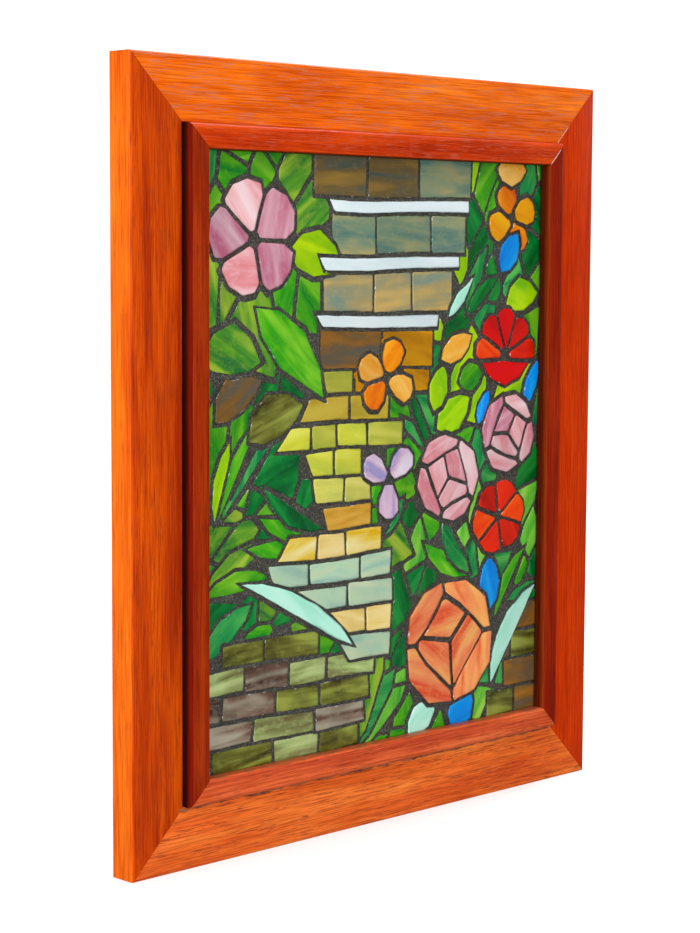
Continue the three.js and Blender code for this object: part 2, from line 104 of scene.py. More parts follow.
# %% Colour and scale
def linear(hex_colour):
    """An sRGB hex colour as linear RGBA."""
    parts = [int(hex_colour[i:i + 2], 16) / 255 for i in (1, 3, 5)]
    return [c / 12.92 if c <= 0.04045 else ((c + 0.055) / 1.055) ** 2.4 for c in parts] + [1.0]


def cycles(*sizes_mm):
    """The texture scales, per metre, that give marks of these sizes in millimetres."""
    scales = tuple(1 / (size * MM) for size in sizes_mm)
    return scales if len(scales) > 1 else scales[0]


print("marks of 10 mm need a scale of", cycles(10))

# %% [markdown]
# ## One way to add a shader node
# A material is a small network, and writing it node by node hides the idea in bookkeeping. So one
# function adds any node: its plain settings, its links, and the stops of a colour ramp. The colour
# form of the Mix node has its colours at inputs 6 and 7 and its result at output 2.

# %% Shader nodes
BLEND = {"data_type": "RGBA"}
TINT = {"data_type": "RGBA", "blend_type": "MULTIPLY"}


def new_material(name):
    """An empty node material."""
    material = bpy.data.materials.new(name)
    material.use_nodes = True
    material.node_tree.nodes.clear()
    return material


def add(material, kind, inputs, stops=(), **settings):
    """Adds a shader node. An input is a value, a node (its first output) or a (node, output) pair."""
    node = material.node_tree.nodes.new("ShaderNode" + kind)
    for name, value in settings.items():
        setattr(node, name, value)
    for key, value in inputs.items():
        value = (value, 0) if isinstance(value, bpy.types.Node) else value
        if isinstance(value, tuple) and isinstance(value[0], bpy.types.Node):
            material.node_tree.links.new(value[0].outputs[value[1]], node.inputs[key])
        else:
            node.inputs[key].default_value = value
    for number, (place, hex_colour) in enumerate(stops):
        elements = node.color_ramp.elements
        element = elements[number] if number < len(elements) else elements.new(place)
        element.position = place
        element.color = linear(hex_colour)
    return node


print("one colour of a chart, in linear light:", [round(c, 3) for c in linear("#ce4c04")])

# %% [markdown]
# ## Small steps that come back
# Every piece rides on the one body of this object and hides the solid parts it stands for. Solid
# parts are never changed: a copy is merged and its flat faces are made whole, so that it can be
# bevelled. Tools work on what is selected, so one helper selects by a rule.
# Bevels usually follow the edges that run one way, so another tells the direction of an edge.

# %% Piece helpers
SAME_POINT = 0.002 * MM
SAME_PLANE = math.radians(0.5)


def finish_piece(obj, slot, *nodes):
    """Puts a finished piece on the root body and hides the solid parts that it stands for. slot is not
    used.
    """
    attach(obj, "root")
    if nodes:
        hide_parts(*nodes)


def only(obj):
    """Makes obj the one selected and active object, in object mode."""
    if bpy.context.mode != "OBJECT":
        bpy.ops.object.mode_set(mode="OBJECT")
    bpy.ops.object.select_all(action="DESELECT")
    obj.select_set(True)
    bpy.context.view_layer.objects.active = obj


def copy_solid(node, name):
    """A copy of a solid part with its loose triangles merged and its flat faces made whole."""
    obj = bpy.data.objects.new(name, NODES[node].data.copy())
    bpy.context.collection.objects.link(obj)
    obj.data.materials.clear()
    only(obj)
    bpy.ops.object.mode_set(mode="EDIT")
    bpy.ops.mesh.select_all(action="SELECT")
    bpy.ops.mesh.remove_doubles(threshold=SAME_POINT)
    bpy.ops.mesh.dissolve_limited(angle_limit=SAME_PLANE)
    bpy.ops.object.mode_set(mode="OBJECT")
    return obj


def pick(obj, kind, wanted):
    """Selects the faces, edges or vertices of obj that wanted(item, mesh) accepts, in edit mode."""
    only(obj)
    bpy.ops.object.mode_set(mode="EDIT")
    bpy.ops.mesh.select_mode(type=kind)
    bpy.ops.mesh.select_all(action="DESELECT")
    bpy.ops.object.mode_set(mode="OBJECT")
    mesh = obj.data
    items = {"FACE": mesh.polygons, "EDGE": mesh.edges, "VERT": mesh.vertices}[kind]
    chosen = 0
    for item in items:
        item.select = wanted(item, mesh)
        chosen += item.select
    bpy.ops.object.mode_set(mode="EDIT")
    return chosen


def edge_vector(edge, mesh):
    """From one end of an edge to the other."""
    first, last = (mesh.vertices[i].co for i in edge.vertices)
    return last - first


def runs_along(edge, mesh, direction, closeness):
    """Whether an edge runs along a direction. A closeness of 1 allows no turn at all."""
    return abs(edge_vector(edge, mesh).normalized().dot(direction)) > closeness


print("points closer than", SAME_POINT / MM, "mm count as one")

# %% [markdown]
# ## Stained hardwood: the grain
# The frame is an open-pored tropical hardwood. Its grain runs along every piece, so each rail turns the
# pattern its own way. Bands of growth are 16 mm wide and 170 mm long, and the pores come in rows, as
# dashes 13 mm long. Real fibres and pores are 0.1 and 0.2 mm wide, too fine to show from a metre and
# a half, so they are drawn 0.9 and 0.55 mm wide.

# %% Grain
GRAIN_TURN = {"x": (0, 0, 0), "z": (0, math.radians(90), 0)}
GRAIN = {
    # length, width and depth of the marks in mm, then detail, roughness and distortion of the noise
    "bands": (170, 16, 12, 2.0, 0.5, 0.6),
    "fibres": (34, 0.9, 0.8, 3.0, 0.5, 0.0),
    "pores": (13, 0.55, 0.5, 1.0, 0.5, 0.0),
    "rows": (60, 7, 5, 2.0, 0.5, 0.0),
    "clouds": (60, 30, 30, 3.0, 0.55, 0.3),
}


def grain_patterns(m, place, grain, names):
    """The named patterns of the wood, stretched along its grain."""
    along = add(m, "Mapping", {"Vector": (place, "Object"), "Rotation": GRAIN_TURN[grain]})
    patterns = []
    for name in names:
        length, width, depth, detail, roughness, distortion = GRAIN[name]
        stretched = add(m, "Mapping", {"Vector": along, "Scale": cycles(length, width, depth)})
        patterns.append(add(m, "TexNoise", {"Vector": stretched, "Scale": 1.0, "Detail": detail,
                                            "Roughness": roughness, "Distortion": distortion}))
    return patterns


print("grain patterns:", ", ".join(GRAIN))

# %% [markdown]
# ## Stained hardwood: the finish
# It was planed, sanded, wiped with a red-orange stain and given a thin satin varnish. The stain soaks
# in unevenly, so the eye sees warm stripes that follow the grain. The pores are darker than the wood,
# except on the top rail and top moulding, where they are painted paler, as painted sheen of the light
# caught in them. Varnish has an IOR of 1.5, and a satin one a roughness of about 0.3. It lies thin
# over open pores, so it shines faintly: a low specular level and a trace of coat. Along one edge of
# the lower moulding stain and varnish chipped off, and bare brown wood shows in spots about 6 mm long.

# %% Wood materials
def worn_edge(m, place, colour, edge):
    """Bare wood in chips along one edge. edge is (height of the edge, width of the wear) in metres."""
    height, width = edge
    split = add(m, "SeparateXYZ", {0: (place, "Object")})
    nearness = add(m, "MapRange", {0: (split, "Z"), 1: height - width, 2: height, 3: 0.0, 4: 1.0})
    chips = add(m, "TexNoise", {"Vector": (place, "Object"), "Scale": cycles(6), "Detail": 3.0})
    chance = add(m, "Math", {0: nearness, 1: chips}, operation="MULTIPLY")
    worn = add(m, "MapRange", {0: chance, 1: 0.42, 2: 0.56, 3: 0.0, 4: 0.7})
    return add(m, "Mix", {0: worn, 6: (colour, 2), 7: linear("#945430")}, **BLEND)


def stained_wood(name, grain, dark, middle, light, pore, pore_strength, shine=0.05, edge=None):
    """Satin-varnished stained hardwood with its grain along x or z."""
    m = new_material(name)
    place = add(m, "TexCoord", {})
    bands, fibres, pores, rows, clouds = grain_patterns(m, place, grain, GRAIN)
    tone = add(m, "ValToRGB", {0: bands}, [(0.28, dark), (0.5, middle), (0.74, light)])
    fine = add(m, "ValToRGB", {0: fibres}, [(0.34, "#b47a62"), (0.6, "#ffffff")])
    woven = add(m, "Mix", {0: 0.6, 6: tone, 7: fine}, **TINT)
    cloudy = add(m, "ValToRGB", {0: clouds}, [(0.35, "#e0b49c"), (0.65, "#ffffff")])
    uneven = add(m, "Mix", {0: 0.5, 6: (woven, 2), 7: cloudy}, **TINT)
    gate = add(m, "MapRange", {0: rows, 1: 0.38, 2: 0.56, 3: 0.25, 4: 1.0})
    dash = add(m, "MapRange", {0: pores, 1: 0.57, 2: 0.63, 3: 0.0, 4: pore_strength})
    pored = add(m, "Math", {0: dash, 1: gate}, operation="MULTIPLY")
    colour = add(m, "Mix", {0: pored, 6: (uneven, 2), 7: linear(pore)}, **BLEND)
    if edge:
        colour = worn_edge(m, place, colour, edge)
    hollow = add(m, "Math", {0: fibres, 1: pored}, operation="SUBTRACT")
    bump = add(m, "Bump", {"Strength": 0.1, "Distance": 0.15 * MM, "Height": hollow})
    rough = add(m, "MapRange", {0: fibres, 1: 0.3, 2: 0.7, 3: 0.26, 4: 0.38})
    shader = add(m, "BsdfPrincipled", {"Base Color": (colour, 2), "Roughness": rough, "IOR": 1.5,
                                       "Specular IOR Level": shine, "Coat Weight": 0.3 * shine,
                                       "Coat Roughness": 0.16, "Normal": bump})
    add(m, "OutputMaterial", {"Surface": shader})
    return m


print("wood finish reads", len(GRAIN), "patterns of the grain")

# %% [markdown]
# ## The four rails
# The rails' solids already have their mitres and eased edges. A real eased edge is round, not flat, so
# the long edges are selected by their direction and bevelled once more. The mitred ends stay crisp,
# because the two rails there were sanded flush together.

# %% Round edges
GRAIN_RUN = {"x": Vector((1, 0, 0)), "z": Vector((0, 0, 1))}
EDGE_SEGMENTS = 2


def round_long_edges(obj, grain, width):
    """Rounds the edges of a stick that run with its grain."""
    chosen = pick(obj, "EDGE", lambda edge, mesh: runs_along(edge, mesh, GRAIN_RUN[grain], 0.98))
    bpy.ops.mesh.bevel(offset=width, segments=EDGE_SEGMENTS, affect="EDGES", clamp_overlap=True)
    bpy.ops.object.mode_set(mode="OBJECT")
    bpy.ops.object.shade_smooth_by_angle(angle=math.radians(35))
    return chosen


print("edges along", ", ".join(GRAIN_RUN), "can be rounded")

# %% [markdown]
# ## Each rail's stain
# The stain lies deeper in some rails than in others: the upright ones are redder, the level ones more
# orange. The left rail's outer side gets a lighter, more orange copy of the stain, as painted light
# for the light that falls on it from the left.

# %% Rails
RAIL_ROUND = 0.28 * MM
RAILS = {
    # grain, dark, middle and light stripes, pores, how strongly they show, how much the varnish shines
    # painted sheen: the top rail's pale pores stand for light caught in them
    "top": ("x", "#dc5e06", "#f07008", "#fa841c", "#b4705c", 0.75),
    "bottom": ("x", "#ec6828", "#fa7c30", "#ff8e3e", "#8c3424", 0.8),
    "left": ("z", "#ac3404", "#c84804", "#e05e04", "#742818", 0.7),
    "right": ("z", "#ce3a02", "#dc4002", "#e64c02", "#982c14", 0.5, 0.025),
}
OUTWARD = -0.8     # how squarely a face looks out to the left, from 0 to -1
LIT_OUTER_SIDE = ("z", "#e05a0c", "#f07012", "#fc861e", "#a8401a", 0.45)
for side, wood in RAILS.items():
    rail = copy_solid(f"rail_{side}", f"{side}_rail")
    rounded = round_long_edges(rail, wood[0], RAIL_ROUND)
    rail.data.materials.append(stained_wood(f"stained_hardwood_{side}_rail", *wood))
    # painted light: the outer side that faces the light at the left takes a lighter copy of the stain
    if side == "left":
        rail.data.materials.append(stained_wood("painted_light_left_rail_side", *LIT_OUTER_SIDE))
        for face in rail.data.polygons:
            face.material_index = int(face.normal.x < OUTWARD)
    finish_piece(rail, "rail_wood", f"rail_{side}")
    print(rail.name, rounded, "long edges rounded,", len(rail.data.polygons), "faces")

# %% [markdown]
# ## The raised moulding
# Four thinner strips, stained a deeper red, stand proud of the rails and lap over the edge of the
# glass. Their faces were sanded and varnished like the rails. Their sides weren't: they are dull and
# unvarnished, rougher, near 0.6, and darker, and part of that dark is painted shade. It is darkest at
# the foot, where a side meets the rail, and the left strip's outer side is painted almost black, as
# the shadow on it. The top strip was rubbed the most and shines the most.

# %% Moulding stain and painted shade
SIGHT_TOP, SIGHT_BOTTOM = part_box("moulding_top")[0][2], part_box("moulding_bottom")[1][2]
SIGHT_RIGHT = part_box("moulding_right")[0][0]
MOULDING_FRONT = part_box("moulding_bottom")[0][1]
MOULDINGS = {
    # as for the rails, then the worn edge's height and width in metres
    # painted sheen: the top strip's pale pores stand for light caught in them
    "top": ("x", "#bc3402", "#d44402", "#e45808", "#b4604a", 0.6, 0.06),
    "bottom": ("x", "#cc5230", "#e46838", "#f27c46", "#803024", 0.75, 0.05, (SIGHT_BOTTOM, 3 * MM)),
    "left": ("z", "#84240a", "#9c300a", "#b03e0c", "#5c1c0e", 0.6, 0.03),
    "right": ("z", "#861c06", "#9a2608", "#ac340c", "#621a0e", 0.55, 0.03),
}
# colours of a side at its foot, middle and front: a darker stain with painted shade over it
SIDE_STAIN_AND_SHADE = {side: ("#541806", "#742408", "#86300e") for side in MOULDINGS}
SIDE_STAIN_AND_SHADE["right"] = ("#561a06", "#782608", "#8a2e0a")
SIDE_STAIN_AND_SHADE["left"] = ("#2a0c04", "#581004", "#701002")


def stain_and_shade_side(name, grain, foot, middle, front):
    """The same wood, darker and unvarnished, with painted shade: darkest at the foot, dark red near the
    front.
    """
    m = new_material(name)
    place = add(m, "TexCoord", {})
    fibres, = grain_patterns(m, place, grain, ["fibres"])
    split = add(m, "SeparateXYZ", {0: (place, "Object")})
    # painted shade: darkest at the foot of a side, by the rail, dark red towards the front
    height = add(m, "MapRange", {0: (split, "Y"), 1: MOULDING_FRONT + 5 * MM, 2: MOULDING_FRONT + 0.3 * MM,
                             3: 0.0, 4: 1.0})
    stain = add(m, "ValToRGB", {0: height}, [(0.0, foot), (0.45, middle), (0.75, front)])
    fine = add(m, "ValToRGB", {0: fibres}, [(0.34, "#90807c"), (0.62, "#ffffff")])
    colour = add(m, "Mix", {0: 0.6, 6: stain, 7: fine}, **TINT)
    shader = add(m, "BsdfPrincipled", {"Base Color": (colour, 2), "Roughness": 0.6, "IOR": 1.5,
                                       "Specular IOR Level": 0.02})
    add(m, "OutputMaterial", {"Surface": shader})
    return m


print("the moulding frames", round((SIGHT_TOP - SIGHT_BOTTOM) / MM), "mm of picture from top to bottom")

# %% [markdown]
# ## Which faces take the painted shade
# The left strip shows its outer side, and the right one the inner wall that looks in at the glass,
# with its rounded edge. These, and the top strip's inner wall, take the dark side colour with its
# painted shade, which on the right strip's rounded edge stands in place of a highlight. The lower
# strip's inner wall keeps the colour of its face. So each face is asked how squarely it looks towards
# the middle of the picture, and the answer it needs differs by strip.

# %% Moulding
MOULDING_ROUND = 0.22 * MM
INWARDS = {"top": (0, 0, -1), "bottom": (0, 0, 1), "left": (1, 0, 0), "right": (-1, 0, 0)}
NEVER = 2
# how squarely a face must look inwards or outwards to take the painted shade of the sides
INNER_WALL = {"top": 0.67, "bottom": NEVER, "left": 0.8, "right": 0.12}
OUTER_WALL = {"top": NEVER, "bottom": NEVER, "left": 0.45, "right": NEVER}


def takes_side_shade(face, side):
    """Whether a face of a strip takes the dark side colour with its painted shade. Its mitred ends don't.
    """
    along = abs(face.normal.dot(GRAIN_RUN[MOULDINGS[side][0]]))
    inwards = face.normal.dot(Vector(INWARDS[side]))
    return along < 0.5 and (inwards > INNER_WALL[side] or -inwards > OUTER_WALL[side])


for side, wood in MOULDINGS.items():
    strip = copy_solid(f"moulding_{side}", f"{side}_moulding")
    round_long_edges(strip, wood[0], MOULDING_ROUND)
    strip.data.materials.append(stained_wood(f"stained_hardwood_{side}_moulding", *wood))
    strip.data.materials.append(stain_and_shade_side(f"unsanded_{side}_moulding_side", wood[0], *SIDE_STAIN_AND_SHADE[side]))
    shaded_unsanded = [takes_side_shade(face, side) for face in strip.data.polygons]
    strip.data.polygons.foreach_set("material_index", [int(yes) for yes in shaded_unsanded])
    finish_piece(strip, "moulding_wood", f"moulding_{side}")
    print(strip.name, sum(shaded_unsanded), "of", len(shaded_unsanded), "faces unsanded")

# %% [markdown]
# ## Glue and filler at the joints
# The moulding was glued on by hand. A brown bead of squeezed-out glue runs unevenly along the foot of
# its lower strip and ends in a small lump at the left. In the upper right corner the mitre opened a
# little and was closed with pale filler, and a crumb of it sits in the lower right corner. A bead is a
# long thin bar, cut into short lengths whose points are then pushed about.

# %% Bars of glue and filler
BROAD, FINE = 90, 330       # how many swellings of each kind there are in a metre, roughly
THINNEST = 0.25             # a bar keeps at least this share of its thickness


def cut_into_lengths(obj, run, cuts):
    """Cuts a bar across into short lengths."""
    pick(obj, "EDGE", lambda edge, mesh: edge_vector(edge, mesh).length > 0.9 * run.length)
    bpy.ops.mesh.subdivide(number_cuts=cuts)
    bpy.ops.object.mode_set(mode="OBJECT")


def bar(name, start, end, width, proud, cuts, ragged):
    """A ragged bar between two points of the front, proud of it by a little."""
    middle, run = (start + end) / 2, end - start
    bpy.ops.object.select_all(action="DESELECT")
    bpy.ops.mesh.primitive_cube_add(size=1, calc_uvs=False, location=(0, 0, 0))
    obj = bpy.context.object
    obj.name = obj.data.name = name
    bpy.ops.object.mode_set(mode="EDIT")
    bpy.ops.transform.resize(value=(run.length, proud * 2, width), center_override=(0, 0, 0))
    bpy.ops.object.mode_set(mode="OBJECT")
    cut_into_lengths(obj, run, cuts)
    for vertex in obj.data.vertices:
        spot = Vector((vertex.co.x, math.copysign(1, vertex.co.z), middle.z))
        thick = 1 + ragged * (1.6 * noise.noise(spot * BROAD) + noise.noise(spot * FINE))
        vertex.co.y *= max(THINNEST, thick)
        vertex.co.z *= max(THINNEST, thick)
    lie = Matrix.Translation(middle) @ run.to_track_quat("X", "Z").to_matrix().to_4x4()
    obj.data.transform(lie)
    direction = run.normalized()
    pick(obj, "EDGE", lambda edge, mesh: runs_along(edge, mesh, direction, 0.8))
    bpy.ops.mesh.bevel(offset=0.3 * min(width, proud), segments=EDGE_SEGMENTS, affect="EDGES")
    bpy.ops.object.mode_set(mode="OBJECT")
    bpy.ops.object.shade_smooth_by_angle(angle=math.radians(60))
    return obj


print("a bar swells about every", round(1 / BROAD / MM), "mm and every", round(1 / FINE / MM), "mm")

# %% [markdown]
# ## What glue and filler look like
# Dried wood glue is brown where stain ran into it, and wood filler dries to a chalky cream. Neither was
# polished: glue has the roughness of dull plastic, 0.5, and filler that of chalk, 0.7. Both dried in
# patches a few millimetres wide.

# %% Glue and filler
LUMPINESS = 0.35    # how far a lump's surface strays from a ball, as a share of its radius
BUMPS = 1.7         # how closely its bumps follow each other, per radius


def plain_matt(name, dark, light, patch_mm, roughness):
    """Dried glue or filler: dull, uneven in colour, with no grain."""
    m = new_material(name)
    place = add(m, "TexCoord", {})
    mottle = add(m, "TexNoise", {"Vector": (place, "Object"), "Scale": cycles(patch_mm), "Detail": 3.0})
    colour = add(m, "ValToRGB", {0: mottle}, [(0.38, dark), (0.6, light)])
    shader = add(m, "BsdfPrincipled", {"Base Color": colour, "Roughness": roughness, "IOR": 1.46})
    add(m, "OutputMaterial", {"Surface": shader})
    return m


def lump(name, place, size):
    """A ball with an uneven surface, squeezed to a size and put in its place."""
    bpy.ops.object.select_all(action="DESELECT")
    bpy.ops.mesh.primitive_ico_sphere_add(subdivisions=3, radius=1, calc_uvs=False, location=(0, 0, 0))
    obj = bpy.context.object
    obj.name = obj.data.name = name
    for vertex in obj.data.vertices:
        vertex.co *= 1 + LUMPINESS * noise.noise(vertex.co * BUMPS)
        vertex.co = place + vertex.co * Vector(size)
    bpy.ops.object.shade_smooth()
    return obj


print("a lump strays from a ball by up to", LUMPINESS, "of its radius")

# %% [markdown]
# ## Where the glue and filler are
# The bead is 2 mm wide and stands 0.8 mm out. The filler was wiped off flush, so its two streaks across
# the mitres are hardly thicker than paint. Every place is told from a corner of the moulding.

# %% Corners of the moulding
LEFT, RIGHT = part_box("moulding_left")[0][0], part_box("moulding_right")[1][0]
TOP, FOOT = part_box("moulding_top")[1][2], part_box("moulding_bottom")[0][2]
RAIL_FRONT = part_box("rail_bottom")[0][1]
LOWER_LEFT, LOWER_RIGHT = Vector((LEFT, RAIL_FRONT, FOOT)), Vector((RIGHT, RAIL_FRONT, FOOT))
UPPER_RIGHT = Vector((RIGHT, RAIL_FRONT, TOP))
SIGHT_CORNER = Vector((SIGHT_RIGHT, MOULDING_FRONT, SIGHT_TOP))


def past(corner, right_mm, up_mm):
    """The point that lies so far to the right of a corner and above it."""
    return corner + Vector((right_mm * MM, 0, up_mm * MM))


print("the moulding is", round((RIGHT - LEFT) / MM), "mm wide and", round((TOP - FOOT) / MM), "mm tall")

# %% [markdown]
# ## The bead, its lump and the pale filler
# All five belong to the moulding's joints. None is a solid part of its own, so they stand for nothing
# and only ride along.

# %% The bead, its lump and the pale filler
brown_glue = plain_matt("dried_brown_glue", "#4e2412", "#a85c34", 9, 0.5)
pale_filler = plain_matt("pale_wood_filler", "#c8a898", "#ece0d8", 3, 0.7)
bead = bar("glue_bead", past(LOWER_LEFT, -1, -1.2), past(LOWER_RIGHT, -1, -1.2),
           width=2 * MM, proud=0.8 * MM, cuts=100, ragged=0.7)
bead_end = lump("glue_lump", past(LOWER_LEFT, 0.5, -2), (3.4 * MM, 0.9 * MM, 1.4 * MM))
moulding_streak = bar("moulding_mitre_filler", past(SIGHT_CORNER, 0.6, 0.6), past(SIGHT_CORNER, 11, 11),
                      width=0.45 * MM, proud=0.05 * MM, cuts=14, ragged=0.9)
rail_streak = bar("rail_mitre_filler", past(UPPER_RIGHT, 1, 1), past(UPPER_RIGHT, 12, 12),
                  width=0.3 * MM, proud=0.05 * MM, cuts=14, ragged=0.9)
crumb = lump("filler_crumb", past(LOWER_RIGHT, -0.4, -1.4), (0.9 * MM, 0.6 * MM, 0.8 * MM))
details = [(bead, brown_glue), (bead_end, brown_glue), (moulding_streak, pale_filler),
           (rail_streak, pale_filler), (crumb, pale_filler)]
for piece, material in details:
    piece.data.materials.append(material)
    finish_piece(piece, "moulding_wood")
print([piece.name for piece, _ in details])

# %% [markdown]
# ## The backing board
# A plain sheet of brown hardboard closes the back. It is made of wood fibres felted and pressed flat,
# so it looks like dull brown felt, with no grain and no shine: roughness 0.78. The felt is a noise
# with blots of 4.5 mm whose finer octaves reach down to the fibres, and patches 110 mm wide are
# where the sheet took up more damp.

# %% Backing board
def hardboard(name):
    """Pressed hardboard: felted brown fibres, quite matt."""
    m = new_material(name)
    place = add(m, "TexCoord", {})
    felt = add(m, "TexNoise", {"Vector": (place, "Object"), "Scale": cycles(4.5), "Detail": 5.0,
                               "Roughness": 0.7})
    patches = add(m, "TexNoise", {"Vector": (place, "Object"), "Scale": cycles(110), "Detail": 3.0})
    fibre = add(m, "ValToRGB", {0: felt}, [(0.3, "#6e4e30"), (0.55, "#8e6a44"), (0.75, "#a9855a")])
    stain = add(m, "ValToRGB", {0: patches}, [(0.3, "#dccfc0"), (0.7, "#ffffff")])
    colour = add(m, "Mix", {0: 0.7, 6: fibre, 7: stain}, **TINT)
    bump = add(m, "Bump", {"Strength": 0.3, "Distance": 0.1 * MM, "Height": felt})
    shader = add(m, "BsdfPrincipled", {"Base Color": (colour, 2), "Roughness": 0.78, "IOR": 1.5,
                                       "Normal": bump})
    add(m, "OutputMaterial", {"Surface": shader})
    return m


board = copy_solid("backing_board", "backing_panel")
board.data.materials.append(hardboard("pressed_hardboard"))
finish_piece(board, "backing_board", "backing_board")
print(board.name, "is", round(board.dimensions.y / MM, 1), "mm thick")

# %% [markdown]
# ## Kinds of glass
# Opalescent sheet glass is rolled from two or three melts that never quite mix, so each kind has a
# body colour, a second melt that streaks it and a third that clouds it. Some kinds are nearly plain
# and others are as marbled as stone. The solid parts tell the kinds apart by thickness, because every
# sheet is a little thicker than the one before it in this table.

# %% Glass kinds
GLASS = {
    # kind: (body, second melt, third melt, how marbled it is, material slot of the record)
    "deep_green": ("#12702e", "#349440", "#084e22", 0.6, "deep_green_glass"),
    "fir_green": ("#2e9048", "#62b45a", "#0e6a3e", 0.6, "deep_green_glass"),
    "leaf_green": ("#4ca22a", "#86c440", "#22802c", 0.6, "leaf_green_glass"),
    "moss_green": ("#5a9632", "#a4bc48", "#2a6c34", 0.7, "leaf_green_glass"),
    "lime": ("#9ed00a", "#c0e41a", "#74ba14", 0.35, "lime_glass"),
    "pale_green": ("#70be48", "#a4d860", "#429e3c", 0.5, "leaf_green_glass"),
    "stone_olive": ("#64642a", "#98a04c", "#3a3216", 1.0, "stone_olive_glass"),
    "stone_mauve": ("#745a4c", "#a49c8a", "#46302a", 1.0, "stone_olive_glass"),
    "stone_wispy": ("#94a464", "#c4d494", "#6c6440", 1.0, "stone_olive_glass"),
    "slate_olive": ("#6e5c38", "#94763e", "#4c564c", 0.7, "slate_green_glass"),
    "slate_green": ("#7a8e74", "#a89e6e", "#587a70", 0.6, "slate_green_glass"),
    "slate_tan": ("#a09066", "#c4a468", "#788c7c", 0.6, "slate_green_glass"),
    "umber": ("#76562e", "#9a6834", "#56544a", 0.7, "stone_olive_glass"),
    "ochre": ("#b47618", "#ca8e2a", "#965e16", 0.4, "amber_glass"),
    "brick_olive": ("#aeae48", "#c4c05e", "#94a248", 0.5, "brick_sand_glass"),
    "brick_gold": ("#c0a442", "#d0b856", "#a8923c", 0.5, "brick_sand_glass"),
    "brick_lemon": ("#d0ce4c", "#e0e068", "#b8c454", 0.5, "brick_sand_glass"),
    "brick_sand": ("#ccc666", "#dcd47e", "#b8b85e", 0.5, "brick_sand_glass"),
    "brick_tan": ("#cc9a48", "#dcae5e", "#bc8236", 0.5, "brick_sand_glass"),
    "brick_cream": ("#ecce62", "#f6e8ac", "#e2b63a", 0.7, "brick_sand_glass"),
    "brick_mist": ("#b4d4b6", "#ccd8b2", "#98bcac", 0.5, "seafoam_glass"),
    "brick_peach": ("#e6c880", "#eedca8", "#d2ae6c", 0.5, "brick_sand_glass"),
    "blue": ("#2c98f0", "#54b4f4", "#1c7ce0", 0.3, "blue_glass"),
    "seafoam": ("#bcf6e0", "#ccfae8", "#a6ead0", 0.2, "seafoam_glass"),
    "white": ("#dceaec", "#e8f2f4", "#cee0e2", 0.2, "white_glass"),
    "pink": ("#ce92a4", "#deb6c2", "#c06e88", 0.8, "pink_glass"),
    "rose": ("#e8b4ba", "#eed0d4", "#de8c96", 0.7, "rose_glass"),
    "lilac": ("#deb8ce", "#eee0ec", "#a69ccc", 0.8, "lilac_glass"),
    "red": ("#ea0402", "#f01a06", "#c60406", 0.4, "red_glass"),
    "crimson": ("#cc0404", "#e20c06", "#a20406", 0.4, "crimson_glass"),
    "orange_red": ("#fc4402", "#fe6412", "#ee2a06", 0.5, "orange_red_glass"),
    "orange": ("#ec8230", "#f4a048", "#e0602a", 0.7, "orange_glass"),
    "apricot": ("#f0b058", "#f6c87c", "#ea983e", 0.6, "apricot_glass"),
    "amber": ("#ee9e1c", "#f4b438", "#e08210", 0.5, "amber_glass"),
    "salmon": ("#f6946c", "#fab674", "#e8664e", 0.9, "salmon_glass"),
}
KINDS = list(GLASS)
THINNEST_FACE = 17.0    # mm from the wall to the face of the thinnest sheet
SHEET_STEP = 0.04       # mm from one kind to the next


def kind_of(face_mm):
    """The kind of glass whose face stands this far from the wall."""
    return KINDS[round((face_mm - THINNEST_FACE) / SHEET_STEP)]


print(len(KINDS), "kinds of glass, the first one", kind_of(THINNEST_FACE))

# %% [markdown]
# ## The colour of a sheet
# Rolling drew the melts out one way. Broad streaks are 70 mm long and 12 mm wide, threads 4 mm wide,
# clouds 24 mm, and a mottle of 6 mm is where a melt broke up. The streaks follow each piece's own map,
# since each was nipped from its own stretch of a sheet, and no two sheets are quite the same shade.

# %% Sheet colour
SHEET = {
    # length and width of the marks in mm, then detail, roughness and distortion of the noise
    "streaks": (70, 12, 2.0, 0.5, 0.6),
    "threads": (45, 4, 3.0, 0.6, 0.9),
    "clouds": (30, 20, 1.0, 0.5, 0.3),
    "mottle": (8, 5, 3.0, 0.6, 0.6),
    "ripple": (17, 5, 2.0, 0.5, 0.0),
}


def sheet_patterns(m, sheet):
    """The patterns of a rolled sheet, drawn out along it."""
    patterns = []
    for length, width, detail, roughness, distortion in SHEET.values():
        drawn = add(m, "Mapping", {"Vector": sheet, "Scale": (*cycles(length, width), 1)})
        patterns.append(add(m, "TexNoise", {"Vector": drawn, "Scale": 1.0, "Detail": detail,
                                            "Roughness": roughness, "Distortion": distortion}))
    return patterns


def sheet_colour(m, kind, streaks, threads, clouds, mottle):
    """The three melts of a kind, mixed as far as the kind is marbled."""
    body, second, third, marbled, _ = GLASS[kind]
    calm = 0.10 * (1 - marbled)
    streaked = add(m, "ValToRGB", {0: streaks}, [(0.37 - calm, third), (0.5, body), (0.64 + calm, second)])
    thread = add(m, "MapRange", {0: threads, 1: 0.5, 2: 0.75, 3: 0.0, 4: 0.05 + 0.3 * marbled})
    threaded = add(m, "Mix", {0: thread, 6: streaked, 7: linear(second)}, **BLEND)
    cloud = add(m, "MapRange", {0: clouds, 1: 0.48, 2: 0.72, 3: 0.0, 4: 0.15 + 0.3 * marbled})
    clouded = add(m, "Mix", {0: cloud, 6: (threaded, 2), 7: linear(third)}, **BLEND)
    broken = add(m, "MapRange", {0: mottle, 1: 0.5, 2: 0.7, 3: 0.0, 4: 0.25 + 0.1 * marbled})
    return add(m, "Mix", {0: broken, 6: (clouded, 2), 7: linear(second)}, **BLEND)


print("a sheet shows", ", ".join(SHEET))
